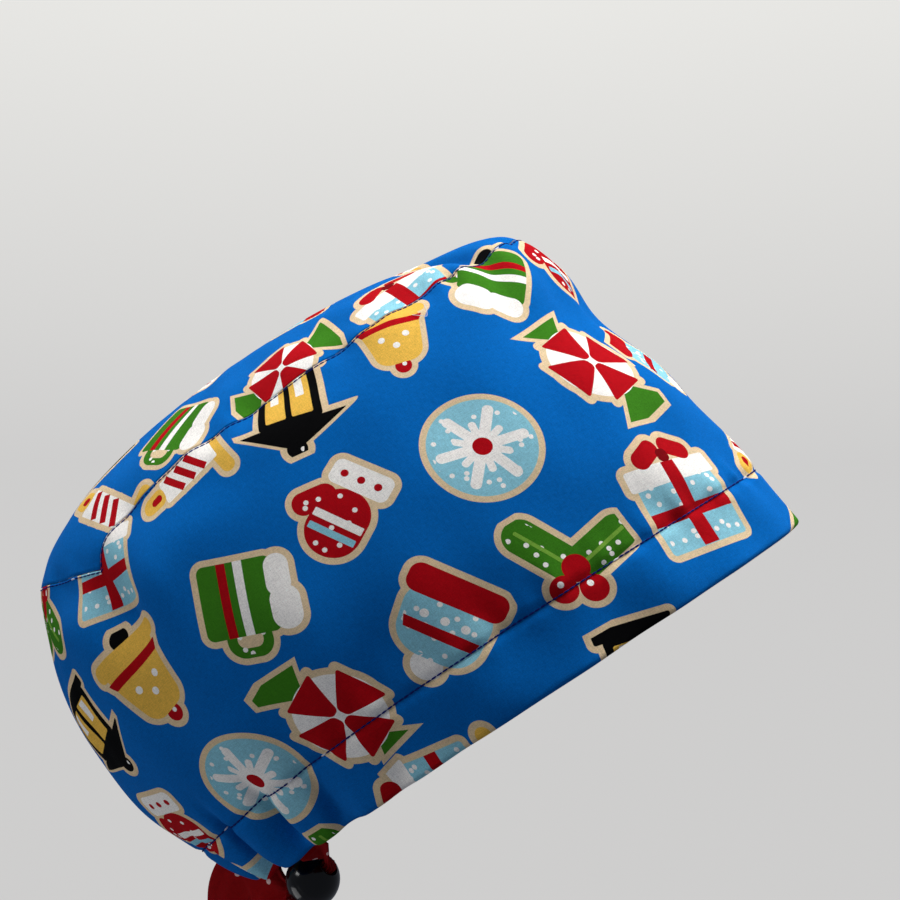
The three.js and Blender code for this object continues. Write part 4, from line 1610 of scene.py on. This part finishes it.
@dataclass
class StitchRow:
    """A closed row of machine stitches along a line on the cloth.

    Attributes:
        finishes: The cap's materials.
        pitch: Distance from stitch to stitch.
        stitch: Length of one stitch.
        thread: Radius of the thread.
        speck_share: Share of stitches where the pale lower thread shows.
        seed: Picks those stitches.
    """

    finishes: Finishes
    pitch: float = 0.0023
    stitch: float = 0.0023
    thread: float = 0.00032
    speck_share: float = 0.02
    seed: int = 3

    def tree(self) -> bpy.types.GeometryNodeTree:
        """Make the node tree that lays stitches along a curve.

        Returns:
            The tree, with named inputs for its sizes.
        """
        tree = bpy.data.node_groups.new("machine stitches", "GeometryNodeTree")
        face = tree.interface
        face.new_socket("Geometry", in_out="INPUT", socket_type="NodeSocketGeometry")
        for name in ("Pitch", "Stitch Length", "Thread Radius", "Speck Share"):
            face.new_socket(name, in_out="INPUT", socket_type="NodeSocketFloat")
        face.new_socket("Seed", in_out="INPUT", socket_type="NodeSocketInt")
        face.new_socket("Geometry", in_out="OUTPUT", socket_type="NodeSocketGeometry")

        def add(kind: str, inputs: dict | None = None, **settings: object) -> bpy.types.NodeSocket:
            """Add a node and return its first output that is in use."""
            made = add_node(tree, kind, inputs, **settings)
            return next(socket for socket in made.outputs if socket.enabled)

        given = add_node(tree, "NodeGroupInput").outputs
        line = {"Curve": given["Geometry"], "Length": given["Pitch"]}
        points = add("GeometryNodeResampleCurve", line, mode="LENGTH")
        tangent = add("GeometryNodeInputTangent")
        heading = add("FunctionNodeAlignRotationToVector", {"Vector": tangent}, axis="Z")
        ball = add("GeometryNodeMeshUVSphere", {"Segments": 8, "Rings": 6, "Radius": 1.0})
        half = add("ShaderNodeMath", {0: given["Stitch Length"], 1: 0.5}, operation="MULTIPLY")
        radius = given["Thread Radius"]
        size = add("ShaderNodeCombineXYZ", {"X": radius, "Y": radius, "Z": half})
        shape = add("GeometryNodeTransform", {"Geometry": ball, "Scale": size})
        laid = {"Points": points, "Instance": shape, "Rotation": heading}
        laid = add("GeometryNodeInstanceOnPoints", laid)
        odds = {"Probability": given["Speck Share"], "Seed": given["Seed"]}
        chance = add("FunctionNodeRandomValue", odds, data_type="BOOLEAN")
        store = add_node(
            tree,
            "GeometryNodeStoreNamedAttribute",
            {"Name": "speck", "Geometry": laid},
            data_type="BOOLEAN",
            domain="INSTANCE",
        )
        value = next(socket for socket in store.inputs if socket.name == "Value" and socket.enabled)
        tree.links.new(chance, value)
        sewn = add("GeometryNodeRealizeInstances", {"Geometry": store.outputs["Geometry"]})
        sewn = add("GeometryNodeSetMaterial", {"Geometry": sewn, "Material": self.finishes.navy_thread})
        speck = add("GeometryNodeInputNamedAttribute", {"Name": "speck"}, data_type="BOOLEAN")
        pale = {"Geometry": sewn, "Material": self.finishes.white_thread, "Selection": speck}
        add_node(tree, "NodeGroupOutput", {"Geometry": add("GeometryNodeSetMaterial", pale)})
        return tree

    def build(self, name: str, line: np.ndarray) -> bpy.types.Object:
        """Sew a row of stitches.

        Args:
            name: The piece's name.
            line: The points that the row follows, round to its start.

        Returns:
            The stitches, as one mesh.
        """
        curve = bpy.data.curves.new(name + "_line", "CURVE")
        curve.dimensions = "3D"
        spline = curve.splines.new("POLY")
        spline.points.add(len(line) - 1)
        spline.points.foreach_set("co", np.hstack([line, np.ones((len(line), 1))]).ravel().tolist())
        spline.use_cyclic_u = True
        guide = bpy.data.objects.new(name + "_line", curve)
        bpy.context.scene.collection.objects.link(guide)
        modifier = guide.modifiers.new("stitches", "NODES")
        modifier.node_group = self.tree()
        values = {
            "Pitch": self.pitch,
            "Stitch Length": self.stitch,
            "Thread Radius": self.thread,
            "Speck Share": self.speck_share,
            "Seed": self.seed,
        }
        for item in modifier.node_group.interface.items_tree:
            if item.in_out == "INPUT" and item.name in values:
                modifier[item.identifier] = values[item.name]
        bpy.context.view_layer.update()
        graph = bpy.context.evaluated_depsgraph_get()
        mesh = bpy.data.meshes.new_from_object(guide.evaluated_get(graph), depsgraph=graph)
        mesh.name = name
        bpy.data.objects.remove(guide)
        mesh.polygons.foreach_set("use_smooth", [True] * len(mesh.polygons))
        thing = bpy.data.objects.new(name, mesh)
        bpy.context.scene.collection.objects.link(thing)
        return thing


@dataclass
class Topstitching:
    """The stitches along the crown seam and the hem."""

    form: CapForm
    finishes: Finishes
    seam_offset: float = 0.0008
    groove_share: float = 0.8

    def __post_init__(self) -> None:
        """Space out the points that the rows follow."""
        self.turns = np.linspace(-180, 180, 900, endpoint=False)

    def build_seam(self) -> bpy.types.Object:
        """Sew the band just under the crown seam.

        Returns:
            The stitches.
        """
        form = self.form
        level = form.seam_level(self.turns) - self.seam_offset / form.seam_spacing
        line = form.worn(form.shell(self.turns, level, 0.0))
        return StitchRow(self.finishes, seed=3).build("crown_stitches", line)

    def build_hem(self) -> bpy.types.Object:
        """Sew the hem along the top of the tape's channel.

        Returns:
            The stitches.
        """
        form = self.form
        level = form.level_above(self.turns, form.hem_depth)
        line = form.worn(form.shell(self.turns, level, form.stitch_groove * self.groove_share))
        return StitchRow(self.finishes, speck_share=0.03, seed=7).build("hem_stitches", line)


class ThreadSpot(NamedTuple):
    """A point of the thread end: degrees from its middle, its level, and millimetres off the cloth."""

    turn: float
    level: float
    lift: float


THREAD_SPOTS = (
    ThreadSpot(-1.6, 5.62, -0.2),
    ThreadSpot(-1.2, 5.5, 0.4),
    ThreadSpot(-0.5, 5.36, 0.9),
    ThreadSpot(0.1, 5.3, 0.7),
    ThreadSpot(0.9, 5.42, 0.9),
    ThreadSpot(1.5, 5.6, 1.3),
)


@dataclass
class ThreadEnd:
    """A loose end of pale thread that hangs in a V from the crown seam."""

    form: CapForm
    finishes: Finishes
    turn: float = -58.0
    radius: float = 0.00013
    steps: int = 40

    def build(self) -> bpy.types.Object:
        """Make the thread end.

        Returns:
            The thread end.
        """
        given = []
        for spot in THREAD_SPOTS:
            turn, level = np.array([self.turn + spot.turn]), np.array([spot.level])
            given.append(self.form.worn(self.form.shell(turn, level, -spot.lift * MM))[0])
        path = Route(np.array(given))
        rim = np.linspace(0, 2 * math.pi, 8, endpoint=False)
        rows = []
        for share in np.linspace(0, 1, self.steps):
            along = path.heading(float(share))
            side = unit(np.cross(along, np.array([0.0, 0.0, 1.0])))
            ring = np.outer(np.cos(rim), side) + np.outer(np.sin(rim), np.cross(side, along))
            rows.append(path.at(float(share)) + ring * self.radius)
        uv = np.zeros((self.steps + 1, len(rim) + 1, 2))
        surface = Surface(np.array(rows), uv, row_loop=False, ends=Ends.FAN)
        return surface.build("thread_end", [self.finishes.white_thread])


@dataclass(frozen=True)
class Studio:
    """The pale backdrop with its painted glow, the lights and the camera."""

    azimuth: float = -83.0
    elevation: float = -4.0
    distance: float = 0.5
    target: tuple[float, float, float] = (0.0, 0.0269, 0.0967)
    lens: float = 50.0
    floor: float = -0.75
    radius: float = 2.6
    bend: float = 1.1
    height: float = 9.0

    def build(self) -> None:
        """Set up everything round the cap."""
        self.build_backdrop()
        self.build_lights()
        self.build_camera()

    def build_backdrop(self) -> None:
        """Make a round sweep: floor, curved corner and wall in one pale sheet, glowing with painted light
        that is darker low down and lighter towards the top.
        """
        flat_rows, bend_rows = 12, 16
        radius, bend, floor = self.radius, self.bend, self.floor
        profile = [(radius * i / flat_rows, floor) for i in range(1, flat_rows + 1)]
        for i in range(1, bend_rows + 1):
            angle = math.pi / 2 * i / bend_rows
            profile.append((radius + bend * math.sin(angle), floor + bend * (1 - math.cos(angle))))
        for i in range(1, flat_rows + 1):
            profile.append((radius + bend, floor + bend + self.height * i / flat_rows))
        around = np.linspace(0, 2 * math.pi, 96, endpoint=False)
        verts = [(0.0, 0.0, self.floor)]
        for radius, height in profile:
            verts += [(radius * math.cos(a), radius * math.sin(a), height) for a in around]
        count = len(around)
        faces = [[0, 1 + j, 1 + (j + 1) % count] for j in range(count)]
        for i in range(len(profile) - 1):
            here, above = 1 + i * count, 1 + (i + 1) * count
            for j in range(count):
                k = (j + 1) % count
                faces.append([here + j, above + j, above + k, here + k])
        mesh = bpy.data.meshes.new("backdrop")
        mesh.from_pydata(verts, [], faces)
        mesh.polygons.foreach_set("use_smooth", [True] * len(faces))
        bench = Bench("pale backdrop")
        place = bench.node("TexCoord").outputs["Object"]
        height = {"Value": bench.part(place, "Z"), "From Min": 0.3, "From Max": 1.9}
        share = bench.node("MapRange", height).outputs[0]
        # Painted light: the sheet glows instead of being lit, darker low down and lighter towards the top.
        painted_light_tint = bench.mix(share, (0.60, 0.595, 0.59, 1), (0.80, 0.795, 0.77, 1))
        painted_glow = bench.node("Emission", {"Color": painted_light_tint, "Strength": 1.0})
        paper = bench.node("BsdfDiffuse", {"Color": (0.04, 0.04, 0.04, 1)})
        both = bench.node("AddShader", {0: painted_glow.outputs[0], 1: paper.outputs[0]})
        mesh.materials.append(bench.finish(both))
        backdrop = bpy.data.objects.new("backdrop", mesh)
        bpy.context.scene.collection.objects.link(backdrop)
        backdrop.visible_diffuse = False
        backdrop.visible_glossy = False

    def build_lights(self) -> None:
        """Hang the soft lights."""
        scene = bpy.context.scene
        world = bpy.data.worlds.new("studio air")
        world.use_nodes = True
        air = world.node_tree.nodes["Background"].inputs
        air["Color"].default_value = (0.78, 0.85, 1.0, 1)
        air["Strength"].default_value = 0.2
        scene.world = world
        lights = (
            ("key light", (-0.1, -1.25, 1.9), 1.0, 50.0),
            ("top light", (-0.25, 0.3, 2.2), 1.0, 39.0),
            ("back light", (-0.9, 1.9, 1.0), 0.7, 9.0),
            ("low card", (-0.2, 0.75, -0.6), 0.5, 1.3),
        )
        for name, place, size, power in lights:
            lamp = bpy.data.lights.new(name, "AREA")
            lamp.size = size
            lamp.energy = power
            thing = bpy.data.objects.new(name, lamp)
            thing.location = place
            thing.rotation_euler = (Vector(self.target) - Vector(place)).to_track_quat("-Z", "Y").to_euler()
            scene.collection.objects.link(thing)

    def build_camera(self) -> None:
        """Stand the camera where the photograph was taken from."""
        scene = bpy.context.scene
        turn, tip = math.radians(self.azimuth), math.radians(self.elevation)
        back = Vector((math.sin(turn) * math.cos(tip), -math.cos(turn) * math.cos(tip), math.sin(tip)))
        camera = bpy.data.cameras.new("camera")
        camera.lens = self.lens
        camera.clip_start = 0.01
        thing = bpy.data.objects.new("camera", camera)
        thing.location = Vector(self.target) + back * self.distance
        thing.rotation_euler = (-back).to_track_quat("-Z", "Y").to_euler()
        scene.collection.objects.link(thing)
        scene.camera = thing
        scene.view_settings.view_transform = "Standard"


def hand_in(piece: bpy.types.Object, slot: str, *nodes: str) -> bpy.types.Object:
    """Tie a finished piece to the frame.

    Args:
        piece: The piece.
        slot: The name of a material slot; it is not used.
        nodes: The frame's nodes that it stands for.

    Returns:
        The same piece.
    """
    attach(piece, "root")
    if nodes:
        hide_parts(*nodes)
    LOG.info("%s: %d faces", piece.name, len(piece.data.polygons))
    return piece


def main() -> None:
    """Build the cap and its studio."""
    logging.basicConfig(level=logging.INFO, format="%(name)s %(message)s")
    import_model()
    form = CapForm()
    finishes = Finishes()
    Studio().build()
    tape = Drawtape(form, finishes)
    stitching = Topstitching(form, finishes)
    band = hand_in(SideBand(form, finishes).build(), "printed_cotton", "side_band")
    crown = hand_in(CrownPanel(form, finishes).build(), "printed_cotton", "crown_panel")
    seam_stitches = hand_in(stitching.build_seam(), "printed_cotton")
    hem_stitches = hand_in(stitching.build_hem(), "printed_cotton")
    thread_end = hand_in(ThreadEnd(form, finishes).build(), "printed_cotton")
    hem_tape = hand_in(tape.build_tape(), "dotted_cotton", "drawtape")
    neck = hand_in(tape.build_neck(), "dotted_cotton", "tape_neck")
    hand_in(tape.build_lock(), "glossy_plastic", "cord_lock")
    upper = hand_in(tape.build_tie("upper_tie", UPPER_ROUTE, 1), "dotted_cotton", "tie_upper")
    lower = hand_in(tape.build_tie("lower_tie", LOWER_ROUTE, -1), "dotted_cotton", "tie_lower")


if __name__ == "__main__":
    main()
